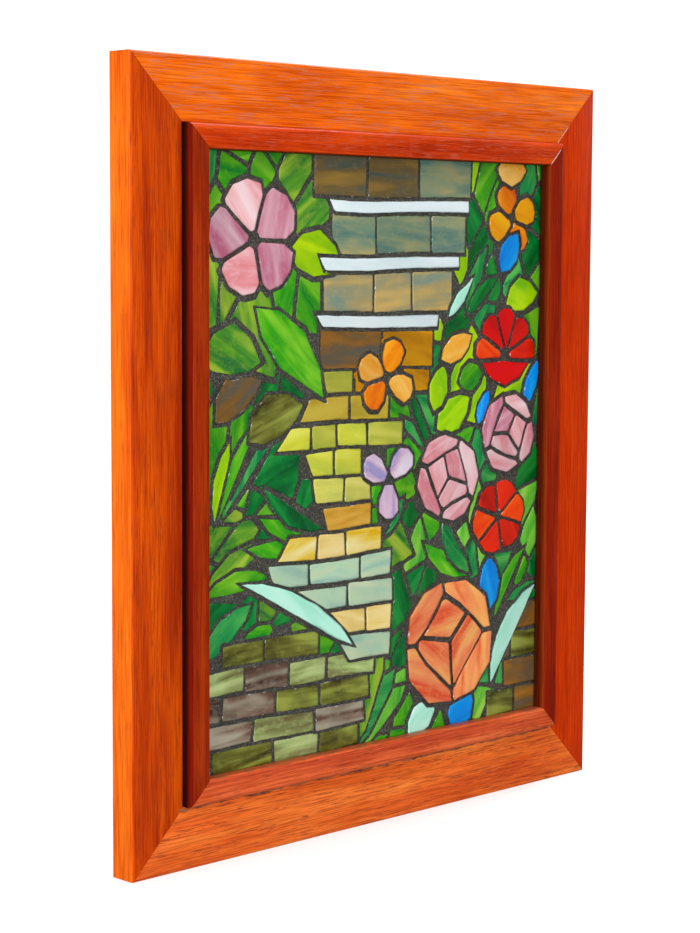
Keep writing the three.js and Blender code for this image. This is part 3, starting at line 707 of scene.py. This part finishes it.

# %% [markdown]
# ## The finish of a sheet
# Rolled glass is smooth but not flat: a ripple 5 mm wide makes its reflections swim, and hand nipping
# leaves its cut edges chipped. Window glass has an IOR of 1.52 and a roughness near 0.1, and grouting
# has dulled this a little, to 0.17. Its rim looks deeper in colour, since light is lost there, and the
# chips are pale, because crushed glass is white and as painted glints of light on the cut edge. A real
# chip is 0.3 mm wide; 4.8 mm between them, drawn as wide as the rim, is what shows.

# %% Glass materials
def nipped_rim(m, sheet, colour):
    """Deepens the rim of a piece and sets a few pale chips, partly painted glints, along its cut edge."""
    rim = add(m, "Attribute", {}, attribute_name="rim", attribute_type="GEOMETRY")
    cut = add(m, "Attribute", {}, attribute_name="cut", attribute_type="GEOMETRY")
    nearness = add(m, "MapRange", {0: (rim, "Fac"), 1: 0.2, 2: 1.0, 3: 0.0, 4: 0.65})
    rimmed = add(m, "Mix", {0: nearness, 6: colour, 7: linear("#7c7c86")}, **TINT)
    # pale chips on the cut edge: partly chipped glass, partly painted glints
    chips = add(m, "TexNoise", {"Vector": sheet, "Scale": cycles(4.8), "Detail": 2.0})
    chipped = add(m, "MapRange", {0: chips, 1: 0.62, 2: 0.68, 3: 0.0, 4: 0.8})
    at_edge = add(m, "MapRange", {0: (cut, "Fac"), 1: 0.72, 2: 0.95, 3: 0.0, 4: 1.0})
    chip_and_glint = add(m, "Math", {0: at_edge, 1: chipped}, operation="MULTIPLY")
    return add(m, "Mix", {0: chip_and_glint, 6: (rimmed, 2), 7: linear("#dfe6e2")}, **BLEND)


def opal_glass(kind):
    """Rolled opalescent sheet glass, nipped by hand."""
    m = new_material(f"opalescent_{kind}_glass")
    sheet = add(m, "UVMap", {}, uv_map="streak")
    tint = add(m, "Attribute", {}, attribute_name="tint", attribute_type="GEOMETRY")
    *marks, ripple = sheet_patterns(m, sheet)
    hue = add(m, "MapRange", {0: (tint, "Fac"), 3: 0.499, 4: 0.507})
    value = add(m, "MapRange", {0: (tint, "Fac"), 3: 0.78, 4: 0.98})
    tinted = add(m, "HueSaturation", {"Hue": hue, "Value": value, "Saturation": 1.06,
                                      "Color": (sheet_colour(m, kind, *marks), 2)})
    colour = nipped_rim(m, sheet, tinted)
    bump = add(m, "Bump", {"Strength": 0.12, "Distance": 0.3 * MM, "Height": ripple})
    shader = add(m, "BsdfPrincipled", {"Base Color": (colour, 2), "Roughness": 0.17, "IOR": 1.52,
                                       "Specular IOR Level": 0.22, "Normal": bump})
    add(m, "OutputMaterial", {"Surface": shader})
    return m


GLASS_MATERIALS = {kind: opal_glass(kind) for kind in KINDS}
print(len(GLASS_MATERIALS), "glass materials")

# %% [markdown]
# ## Cutting a piece of glass
# A nipper takes a sheet apart in short straight bites, so a real tessera is a polygon with slightly
# rubbed corners, about 3 mm thick, and never quite regular. The front face of each solid tessera is
# the right start. Everything but those faces is deleted, and a limited dissolve joins small turns of
# the outline into straight bites.

# %% Glass outlines
GROUT_FACE = 16.6                   # mm from the wall
GLASS_STANDS = GROUT_FACE + 0.2     # every face of glass is further out than this


def is_spare(face, mesh):
    """Whether a face of the solid is something else than the front of a piece of glass."""
    return face.normal.y > -0.9 or -face.center.y / MM < GLASS_STANDS


def keep_glass_faces(obj):
    """Leaves one flat face for each piece of glass, numbered, with its kind as its material."""
    pick(obj, "FACE", is_spare)
    bpy.ops.mesh.delete(type="FACE")
    bpy.ops.object.mode_set(mode="OBJECT")
    mesh = obj.data
    kinds = [kind_of(-face.center.y / MM) for face in mesh.polygons]
    used = sorted(set(kinds))
    for kind in used:
        mesh.materials.append(GLASS_MATERIALS[kind])
    numbers = mesh.attributes.new("piece", "INT", "FACE")
    for number, (face, kind) in enumerate(zip(mesh.polygons, kinds)):
        face.material_index = used.index(kind)
        numbers.data[number].value = number
    return kinds


def nip_straight(obj, turn):
    """Joins turns smaller than turn degrees, so that the outline becomes straight bites."""
    only(obj)
    bpy.ops.object.mode_set(mode="EDIT")
    bpy.ops.mesh.select_all(action="SELECT")
    bpy.ops.mesh.dissolve_limited(angle_limit=math.radians(turn))
    bpy.ops.object.mode_set(mode="OBJECT")


print("glass stands more than", GLASS_STANDS, "mm from the wall")

# %% [markdown]
# ## A ring that goes wrong
# Light enters glass through its face and is lost near its edges, so a rim a millimetre or two wide
# looks deeper in colour, and the last half millimetre rolls off where the cut chipped. Two insets
# draw those two rings on every face. In a narrow piece a wide ring runs across itself or turns over,
# which shows as a dark tangle. Both faults can be read off the outlines.

# %% Faults of a ring
def crosses_itself(points):
    """Whether a closed outline of flat points runs across itself."""
    count = len(points)
    ends = [(points[k], points[(k + 1) % count]) for k in range(count)]
    return any(geometry.intersect_line_line_2d(*ends[i], *ends[j])
               for i in range(count) for j in range(i + 2, count) if (i, j) != (0, count - 1))


def turned_over(face, mesh, uses):
    """Whether a ring's quad has its inner edge running against its outer one."""
    corners = [mesh.vertices[i].co for i in face.vertices]
    for k, key in enumerate(face.edge_keys):
        if uses[key] == 1:
            a, b, c, d = (corners[(k + step) % 4] for step in range(4))
            if (b - a).dot(c - d) < 0.05 * (b - a).length_squared:
                return True
    return False


SQUARE = [Vector(corner) for corner in ((0, 0), (1, 0), (1, 1), (0, 1))]
TANGLE = [SQUARE[0], SQUARE[2], SQUARE[1], SQUARE[3]]
print("a square crosses itself:", crosses_itself(SQUARE), "and a tangle:", crosses_itself(TANGLE))

# %% [markdown]
# ## Trying the rings on a copy
# So one ring as wide as both together is first drawn on a copy of the mesh, and the pieces that it
# spoils are noted by their number. The copy is thrown away.

# %% Do the rings fit
def count_uses(mesh):
    """How many faces share each edge."""
    uses = {}
    for face in mesh.polygons:
        for key in face.edge_keys:
            uses[key] = uses.get(key, 0) + 1
    return uses


def pieces_that_spoil(obj, numbers, width):
    """The pieces in which one ring of this width turns over or runs across itself."""
    trial = bpy.data.objects.new("trial", obj.data.copy())
    bpy.context.collection.objects.link(trial)
    pick(trial, "FACE", lambda face, mesh: mesh.attributes["piece"].data[face.index].value in numbers)
    bpy.ops.mesh.inset(thickness=width, use_individual=True)
    bpy.ops.object.mode_set(mode="OBJECT")
    mesh = trial.data
    uses = count_uses(mesh)
    spoilt = set()
    for face in mesh.polygons:
        number = mesh.attributes["piece"].data[face.index].value
        if number in numbers and face.select:
            flat = [Vector((mesh.vertices[i].co.x, mesh.vertices[i].co.z)) for i in face.vertices]
            if crosses_itself(flat):
                spoilt.add(number)
        elif number in numbers and len(face.vertices) == 4 and turned_over(face, mesh, uses):
            spoilt.add(number)
    bpy.data.objects.remove(trial)
    bpy.data.meshes.remove(mesh)
    return spoilt


print(strip.name, "has", len(count_uses(strip.data)), "edges")

# %% [markdown]
# ## The rings themselves
# A piece that can't take the widest pair of rings gets the next narrower one. The last pair fits
# everywhere and isn't tried.

# %% Rim rings
RINGS = [(0.40 * MM, 1.10 * MM), (0.30 * MM, 0.60 * MM), (0.20 * MM, 0.30 * MM), (0.08 * MM, 0.08 * MM)]
SAFETY = 1.15      # a pair is tried this much wider than it is drawn


def draw_rings(obj):
    """Gives every piece the widest pair of rings that it can take."""
    left = {item.value for item in obj.data.attributes["piece"].data}
    for rings in RINGS:
        spoilt = pieces_that_spoil(obj, left, sum(rings) * SAFETY) if rings is not RINGS[-1] else set()
        good = left - spoilt
        if good:
            pick(obj, "FACE", lambda face, mesh: mesh.attributes["piece"].data[face.index].value in good)
            for ring in rings:
                bpy.ops.mesh.inset(thickness=ring, use_individual=True)
            bpy.ops.object.mode_set(mode="OBJECT")
        left = spoilt
        if not left:
            break


print("pairs of rings, mm wide:", [round(sum(rings) / MM, 2) for rings in RINGS])

# %% [markdown]
# ## Points along the edges and across the face
# A face with corners only can't have a wandering edge or a rolled surface. Long edges are halved until
# none is longer than 2.1 mm. The middle of each face is one many-sided polygon, so it is triangulated
# first and then its own long edges are halved too.

# %% More points
OUTLINE_STEP, FACE_STEP = 2.1 * MM, 6 * MM


def halve_long_edges(obj, longest, rounds):
    """Halves every edge longer than longest, as often as rounds says."""
    for _ in range(rounds):
        if not pick(obj, "EDGE", lambda edge, mesh: edge_vector(edge, mesh).length > longest):
            break
        bpy.ops.mesh.subdivide(number_cuts=1)
    bpy.ops.object.mode_set(mode="OBJECT")


def add_points(obj):
    """Adds points along the outlines first, then across the faces."""
    halve_long_edges(obj, OUTLINE_STEP, rounds=5)
    pick(obj, "FACE", lambda face, mesh: len(face.vertices) > 4)
    bpy.ops.mesh.quads_convert_to_tris(ngon_method="BEAUTY")
    bpy.ops.object.mode_set(mode="OBJECT")
    halve_long_edges(obj, FACE_STEP, rounds=2)


print("a point at least every", OUTLINE_STEP / MM, "mm along the outlines")

# %% [markdown]
# ## Laying without a ruler
# The whole picture drifts by a millimetre or two, as a hand lays it without a ruler, and stays true
# only under the moulding. The drift is one slow noise for all, so that neighbours drift together and
# the joints keep their width.

# %% Drift
SIGHT_HALF = (SIGHT_RIGHT, (SIGHT_TOP - SIGHT_BOTTOM) / 2)
DRIFT, DRIFT_FADE = 2.4 * MM, 26 * MM
DRIFT_TURNS = 15     # changes of direction in a metre, roughly


def drift(x, z):
    """How far the hand-laid picture strays here from its drawing."""
    to_border = min(SIGHT_HALF[0] - abs(x), SIGHT_HALF[1] - abs(z - PANEL_MIDDLE.z))
    fade = min(1.0, max(0.0, to_border / DRIFT_FADE))
    return noise.noise_vector(Vector((x, z, 0.7)) * DRIFT_TURNS) * DRIFT * fade


print("in the middle it strays", round(drift(0, PANEL_MIDDLE.z).length / MM, 2), "mm")

# %% [markdown]
# ## Which points belong together
# All pieces are still one mesh. A point has to know its piece, since each piece moves as one, and how
# near it lies to the outline, since only the rim rolls off. Both can be read off the faces round it.

# %% Pieces and rims
FIRST_RING = 0.7     # how near the outline the first ring counts, if the outline itself is 1


def pieces_of(mesh):
    """The piece number of every vertex, and each piece's middle."""
    number = np.zeros(len(mesh.vertices), dtype=int)
    for face in mesh.polygons:
        number[list(face.vertices)] = mesh.attributes["piece"].data[face.index].value
    places = np.array([v.co for v in mesh.vertices])
    middles = {n: places[number == n].mean(axis=0) for n in set(number)}
    return number, middles


def rim_points(mesh):
    """0 inside, FIRST_RING on the first ring and 1 on the outline."""
    uses = count_uses(mesh)
    border = {i for key, times in uses.items() if times == 1 for i in key}
    nearness = np.zeros(len(mesh.vertices))
    for key in uses:
        for here, there in (key, key[::-1]):
            if there in border and here not in border:
                nearness[here] = FIRST_RING
    nearness[list(border)] = 1.0
    return nearness


print("the first ring counts as", FIRST_RING)

# %% [markdown]
# ## The hand in each piece
# One smoothing rubs the corners. Every piece is tilted a little, as it sits in its adhesive, its edge
# wanders by a quarter of a millimetre, its face gets the slow wave of rolled glass and its rim rolls
# off. A free form is cut up to a tenth short of its drawing and a white step edge a seventh too narrow,
# which is why the grout is wide round them. The rim looks deepest at the lower right, away from the
# light. The noise is read at a different place for every piece, so no two edges run alike.

# %% Wander, tilt and wave
STRAIGHT_KINDS = ("brick", "slate", "stone", "ochre", "umber", "white")
TILT = 0.007                              # rise of a face, as a share of the way across it
SHORT, STEP_EDGE_LOSS = (0.01, 0.10), 0.14
BENDS, BEND_MM = 110, 0.34                # how often an edge wanders in a metre, and how far in mm
NICKS, NICK_MM = 420, 0.2
WAVES, WAVE_MM = 70, 0.07
EDGE_ROLL = 0.16 * MM
HIGHEST = -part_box("moulding_top")[1][1] - 0.1 * MM     # from the wall, just clear of the moulding's back
RIM_DEPTH, RIM_LEAN, RIM_SIDE = 0.55, 0.45, Vector((0.85, 0, -0.5))


def rub(obj, factor):
    """Rubs the corners of every piece."""
    only(obj)
    bpy.ops.object.mode_set(mode="EDIT")
    bpy.ops.mesh.select_all(action="SELECT")
    bpy.ops.mesh.vertices_smooth(factor=factor, repeat=1)
    bpy.ops.object.mode_set(mode="OBJECT")


def shape_by_hand(mesh, kinds):
    """Moves every point as the hand that cut and laid its piece did, and notes how near the rim it is."""
    number, middles = pieces_of(mesh)
    nearness = rim_points(mesh)
    tilt = {n: (random.uniform(-TILT, TILT), random.uniform(-TILT, TILT)) for n in middles}
    seed = {n: random.uniform(0, 9) for n in middles}
    short = {n: 0.0 if kinds[n].startswith(STRAIGHT_KINDS) else random.uniform(*SHORT) for n in middles}
    narrow = {n: STEP_EDGE_LOSS if kinds[n] == "white" else short[n] for n in middles}
    for name in ("rim", "cut"):
        mesh.attributes.new(name, "FLOAT", "POINT")
    rim, cut = mesh.attributes["rim"], mesh.attributes["cut"]  # fetched last: a new one moves the others
    for vertex in mesh.vertices:
        n, near = number[vertex.index], nearness[vertex.index]
        from_middle = vertex.co - Vector(middles[n])
        spot = Vector((vertex.co.x, vertex.co.z, seed[n]))
        bend = noise.noise_vector(spot * BENDS) * BEND_MM * MM
        wander = bend + noise.noise_vector(spot * NICKS) * NICK_MM * MM
        wave = noise.noise(spot * WAVES) * WAVE_MM * MM
        lean = from_middle.x * tilt[n][0] + from_middle.z * tilt[n][1]
        out = from_middle.normalized() if from_middle.length > 0 else from_middle
        stray = drift(vertex.co.x, vertex.co.z)
        cut.data[vertex.index].value = near
        rim.data[vertex.index].value = near * (RIM_DEPTH + RIM_LEAN * out.dot(RIM_SIDE))
        vertex.co.x += wander.x + stray.x - from_middle.x * short[n]
        vertex.co.z += wander.y + stray.y - from_middle.z * narrow[n]
        roll = EDGE_ROLL * max(0.0, near - FIRST_RING) / (1 - FIRST_RING)
        vertex.co.y = max(vertex.co.y + wave + lean, -HIGHEST) + roll


print("straight kinds:", sum(kind.startswith(STRAIGHT_KINDS) for kind in KINDS), "of", len(KINDS))

# %% [markdown]
# ## Thickness
# A face is only a skin. Solidify gives it the thickness of the sheet, backwards, so that the glass
# reaches down into the grout.

# %% Thickness
GLASS_THICKNESS = 2.4 * MM


def thicken(obj):
    """Gives the faces their thickness, towards the wall."""
    only(obj)
    solid = obj.modifiers.new("thickness", "SOLIDIFY")
    solid.thickness = GLASS_THICKNESS
    solid.offset = -1
    bpy.ops.object.modifier_apply(modifier="thickness")
    bpy.ops.object.shade_smooth_by_angle(angle=math.radians(40))


print("the glass reaches", GLASS_THICKNESS / MM, "mm in")

# %% [markdown]
# ## The run of the streaks
# Each piece was nipped from its own stretch of a sheet, and mostly along its streaks. So it gets a UV
# map in metres whose first direction follows the piece's length, found as the main direction in which
# its points spread, give or take a few degrees. The map is shifted at random over a few metres of
# sheet, and every piece has its own tint, because no two sheets of a kind are quite alike.

# %% Streak maps
STEADY, LOOSE = 0.06, 0.35     # radians that a straight and a free piece stray from their streaks
SHEET_METRES = 3


def run_of_streaks(points, straight):
    """The angle of a piece's length, give or take a few degrees."""
    spread = points - points.mean(axis=0)
    along = np.linalg.eigh(spread.T @ spread)[1][:, 1]
    return math.atan2(along[1], along[0]) + random.gauss(0, STEADY if straight else LOOSE)


def map_streaks(mesh, kinds):
    """Gives every piece its own stretch of sheet and its own tint."""
    number, middles = pieces_of(mesh)
    flat = np.array([(v.co.x, v.co.z) for v in mesh.vertices])
    mesh.uv_layers.new(name="streak")
    mesh.attributes.new("tint", "FLOAT", "POINT")
    uv, tint = mesh.uv_layers["streak"], mesh.attributes["tint"]
    place = np.zeros_like(flat)
    shade = np.zeros(len(flat))
    for n in middles:
        mine = number == n
        angle = run_of_streaks(flat[mine], kinds[n].startswith(STRAIGHT_KINDS))
        turn = np.array(((math.cos(angle), -math.sin(angle)), (math.sin(angle), math.cos(angle))))
        place[mine] = flat[mine] @ turn + np.array((random.random(), random.random())) * SHEET_METRES
        shade[mine] = random.random()
    tint.data.foreach_set("value", shade)
    corners = np.zeros(len(mesh.loops), dtype=int)
    mesh.loops.foreach_get("vertex_index", corners)
    uv.data.foreach_set("uv", place[corners].ravel())


print("streaks stray by about", round(math.degrees(STEADY)), "or", round(math.degrees(LOOSE)), "degrees")

# %% [markdown]
# ## From a solid to its glass
# Now every step has its helper, and one function does them in their order. Petals were nipped with more
# care than the rest, so smaller turns of their outlines stay, and the corners of a single straight piece
# are rubbed less.

# %% Cutting the glass of one solid
BITE_TURN, PETAL_TURN = 17, 8     # degrees
RUB_STRAIGHT, RUB_FREE = 0.25, 0.42


def cut_glass(node, name):
    """Makes the glass of one solid part, from its raised faces to its streaks."""
    obj = copy_solid(node, name)
    kinds = keep_glass_faces(obj)
    straight = len(kinds) == 1 and kinds[0].startswith(STRAIGHT_KINDS)
    nip_straight(obj, BITE_TURN if node == "grout_bed" else PETAL_TURN)
    draw_rings(obj)
    add_points(obj)
    rub(obj, RUB_STRAIGHT if straight else RUB_FREE)
    shape_by_hand(obj.data, kinds)
    thicken(obj)
    map_streaks(obj.data, kinds)
    return obj, kinds


print("turns under", BITE_TURN, "degrees, on petals under", PETAL_TURN, "become straight")

# %% [markdown]
# ## The tesserae that are parts of their own
# Petals, white step edges and the long pale blades are separate solids, so each gets its own piece of
# glass, named after it.

# %% Separate tesserae
NOT_GLASS = ("rail_", "moulding_", "backing_board", "grout_bed")
separate = [node for node in NODES if not node.startswith(NOT_GLASS)]
for node in separate:
    piece, kinds = cut_glass(node, f"{node}_glass")
    finish_piece(piece, GLASS[kinds[0]][-1], node)
print(len(separate), "separate tesserae")

# %% [markdown]
# ## The tesserae that share the bed's solid
# The smaller bricks, stones, leaves and scraps stand out of the grout bed's own solid. They are cut
# together in the same way, and then come apart by material, one object for each kind of glass.

# %% Bed tesserae
kinds = cut_glass("grout_bed", "bed_tesserae")[1]
bpy.ops.object.mode_set(mode="EDIT")
bpy.ops.mesh.separate(type="MATERIAL")
bpy.ops.object.mode_set(mode="OBJECT")
for piece in list(bpy.context.selected_objects):
    material = piece.data.materials[piece.data.polygons[0].material_index]
    kind = next(kind for kind in KINDS if GLASS_MATERIALS[kind] == material)
    piece.data.materials.clear()
    piece.data.materials.append(material)
    piece.name = piece.data.name = f"{kind}_tesserae"
    finish_piece(piece, GLASS[kind][-1], "grout_bed")
print(len(kinds), "tesserae of", len(set(kinds)), "kinds in the bed")

# %% [markdown]
# ## Grout: the finish
# Dark sanded cement fills every joint. It was sponged off while wet, which leaves the sand bare: a
# charcoal ground with pale and dark grains, quite matt, roughness 0.72. Real grains are half a
# millimetre across, which is too fine to show, so they are drawn 0.7 to 0.9 mm across. Patches 22 mm
# wide dried lighter.

# %% Grout material
def sanded_grout(name):
    """Charcoal cement grout with pale and dark sand grains, quite matt."""
    m = new_material(name)
    place = add(m, "TexCoord", {})
    sand = add(m, "TexVoronoi", {"Vector": (place, "Object"), "Scale": cycles(0.7)}, feature="F1")
    speck = add(m, "TexNoise", {"Vector": (place, "Object"), "Scale": cycles(0.9), "Detail": 3.0,
                                "Roughness": 0.75})
    damp = add(m, "TexNoise", {"Vector": (place, "Object"), "Scale": cycles(22), "Detail": 3.0})
    grain = add(m, "ValToRGB", {0: speck}, [(0.36, "#1a1916"), (0.5, "#3a3833"), (0.6, "#5a574e"),
                                            (0.7, "#a09c90")])
    wiped = add(m, "ValToRGB", {0: damp}, [(0.3, "#bdbab2"), (0.7, "#ffffff")])
    colour = add(m, "Mix", {0: 0.8, 6: grain, 7: wiped}, **TINT)
    height = add(m, "Math", {0: (sand, "Distance"), 1: speck}, operation="ADD")
    bump = add(m, "Bump", {"Strength": 0.55, "Distance": 0.25 * MM, "Height": height})
    shader = add(m, "BsdfPrincipled", {"Base Color": (colour, 2), "Roughness": 0.72, "IOR": 1.5,
                                       "Normal": bump})
    add(m, "OutputMaterial", {"Surface": shader})
    return m


grout_material = sanded_grout("sanded_cement_grout")
print(grout_material.name)

# %% [markdown]
# ## Grout: the slab
# It stands a little lower than the glass and slightly uneven where the sponge wiped it. It starts as a
# grid, its points are pushed in and out by noise, and its border is drawn back to make a slab.

# %% Grout
low, high = (Vector(corner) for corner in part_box("grout_bed"))
GROUT_STEP = 2.0 * MM
GROUT_BACK = -high.y + 0.3 * MM      # from the wall, just in front of the bed's own back
SPONGED, SANDY = 60, 260             # how many hollows of each kind there are in a metre, roughly
HOLLOW_MM = 0.16
across = high.x - low.x
tall = high.z - low.z
centre = (low + high) / 2
columns, rows = int(across / GROUT_STEP), int(tall / GROUT_STEP)
bpy.ops.object.select_all(action="DESELECT")
bpy.ops.mesh.primitive_grid_add(x_subdivisions=columns, y_subdivisions=rows, size=1, calc_uvs=False,
                                location=(0, 0, 0))
grout = bpy.context.object
grout.name = grout.data.name = "sanded_grout"
for vertex in grout.data.vertices:
    x, z = centre.x + vertex.co.x * across, centre.z + vertex.co.y * tall
    spot = Vector((x, z, 0.3))
    rise = (noise.noise(spot * SPONGED) + noise.noise(spot * SANDY)) * HOLLOW_MM
    vertex.co = (x, -(GROUT_FACE + rise) * MM, z)
only(grout)
bpy.ops.object.mode_set(mode="EDIT")
bpy.ops.mesh.select_mode(type="EDGE")
bpy.ops.mesh.select_all(action="DESELECT")
bpy.ops.mesh.select_non_manifold()
bpy.ops.mesh.extrude_edges_move(TRANSFORM_OT_translate={"value": (0, GROUT_FACE * MM - GROUT_BACK, 0)})
bpy.ops.mesh.edge_face_add()
bpy.ops.mesh.select_all(action="SELECT")
bpy.ops.mesh.normals_make_consistent(inside=False)
bpy.ops.object.mode_set(mode="OBJECT")
bpy.ops.object.shade_smooth_by_angle(angle=math.radians(50))
grout.data.materials.append(grout_material)
finish_piece(grout, "grout", "grout_bed")
print(grout.name, len(grout.data.polygons), "faces")

# %% [markdown]
# ## The studio's white floor
# A studio for small things is a white floor that curves up into a white wall, so that no horizon
# shows. Here it is a wide bowl of matt white paint, roughness 0.95. Real studios light the wall on its
# own until it burns out to white; here the paint glows a little more with distance from the panel,
# half a metre to two and a half. It is left out of reflections and bounced light, because so much
# white would lie on the glass and the varnish as a veil.

# %% Bowl
BOWL_RADIUS, BOWL_HEIGHT, BOWL_CURVE = 8.0, 6.0, 3.0     # metres


def stage_white(name):
    """Matt white paint that glows with distance, so that floor and wall stay one white."""
    m = new_material(name)
    reach = add(m, "VectorMath", {0: (add(m, "TexCoord", {}), "Object")}, operation="LENGTH")
    glow = add(m, "MapRange", {0: (reach, "Value"), 1: 0.5, 2: 2.4, 3: 0.58, 4: 0.93})
    shader = add(m, "BsdfPrincipled", {"Base Color": linear("#b4b4b4"), "Roughness": 0.95,
                                       "Specular IOR Level": 0.0, "Emission Color": linear("#ffffff"),
                                       "Emission Strength": glow})
    add(m, "OutputMaterial", {"Surface": shader})
    return m


bpy.ops.object.select_all(action="DESELECT")
bpy.ops.mesh.primitive_cylinder_add(vertices=96, radius=BOWL_RADIUS, depth=BOWL_HEIGHT, calc_uvs=False,
                                    location=(0, 0, CAD_BOX[0][2] + BOWL_HEIGHT / 2))
bowl = bpy.context.object
bowl.name = "white_bowl"
bpy.ops.object.transform_apply(location=True, rotation=False, scale=False)
pick(bowl, "FACE", lambda face, mesh: face.normal.z > 0.9)
bpy.ops.mesh.delete(type="FACE")
pick(bowl, "EDGE", lambda edge, mesh: all(mesh.vertices[i].co.z < 0 for i in edge.vertices))
bpy.ops.mesh.bevel(offset=BOWL_CURVE, segments=12, affect="EDGES")
bpy.ops.mesh.select_all(action="SELECT")
bpy.ops.mesh.flip_normals()
bpy.ops.object.mode_set(mode="OBJECT")
bpy.ops.object.shade_smooth()
bowl.data.materials.append(stage_white("matt_white_paint"))
bowl.visible_glossy = False
bowl.visible_diffuse = False
print("bowl with", len(bowl.data.polygons), "faces")

# %% [markdown]
# ## The lamps
# A large soft lamp hangs above and in front, another stands low in front, and the strongest one at the
# left grazes the panel, which is what brings out the grain and the edges of the glass. A small one
# behind the top edge, a weak one at the right and one far behind draw a bright line along the upper
# and right edges. The sky is kept dim for the same reason as the bowl.

# %% Lamps
world = bpy.data.worlds.new("studio")
bpy.context.scene.world = world
world.use_nodes = True
world.node_tree.nodes["Background"].inputs["Color"].default_value = linear("#ffffff")
world.node_tree.nodes["Background"].inputs["Strength"].default_value = 0.32


def soft_lamp(name, place, width, watts):
    """A round soft lamp that looks at the panel."""
    lamp = bpy.data.objects.new(name, bpy.data.lights.new(name, "AREA"))
    bpy.context.collection.objects.link(lamp)
    lamp.data.shape = "DISK"
    lamp.data.size = width
    lamp.data.energy = watts
    lamp.location = place
    lamp.rotation_euler = (AIM - Vector(place)).to_track_quat("-Z", "Y").to_euler()


LAMPS = {
    # place and width in metres, power in watts
    "overhead": ((-0.4, -1.0, 1.7), 1.4, 16),
    "front": ((-1.1, -1.9, -0.3), 1.6, 43),
    "left": ((-2.2, -0.35, 0.2), 2.0, 44),
    "edge": ((0.9, 0.08, 1.2), 0.5, 15),
    "right": ((1.9, -0.25, 0.3), 0.6, 5),
    "behind": ((1.2, 2.2, 1.2), 1.4, 30),
}
for name, lamp in LAMPS.items():
    soft_lamp(name, *lamp)
bpy.context.scene.view_settings.view_transform = "Standard"
print(len(LAMPS), "lamps of", sum(watts for _, _, watts in LAMPS.values()), "watts together")

# %% [markdown]
# ## The end

# %% End
print("done")
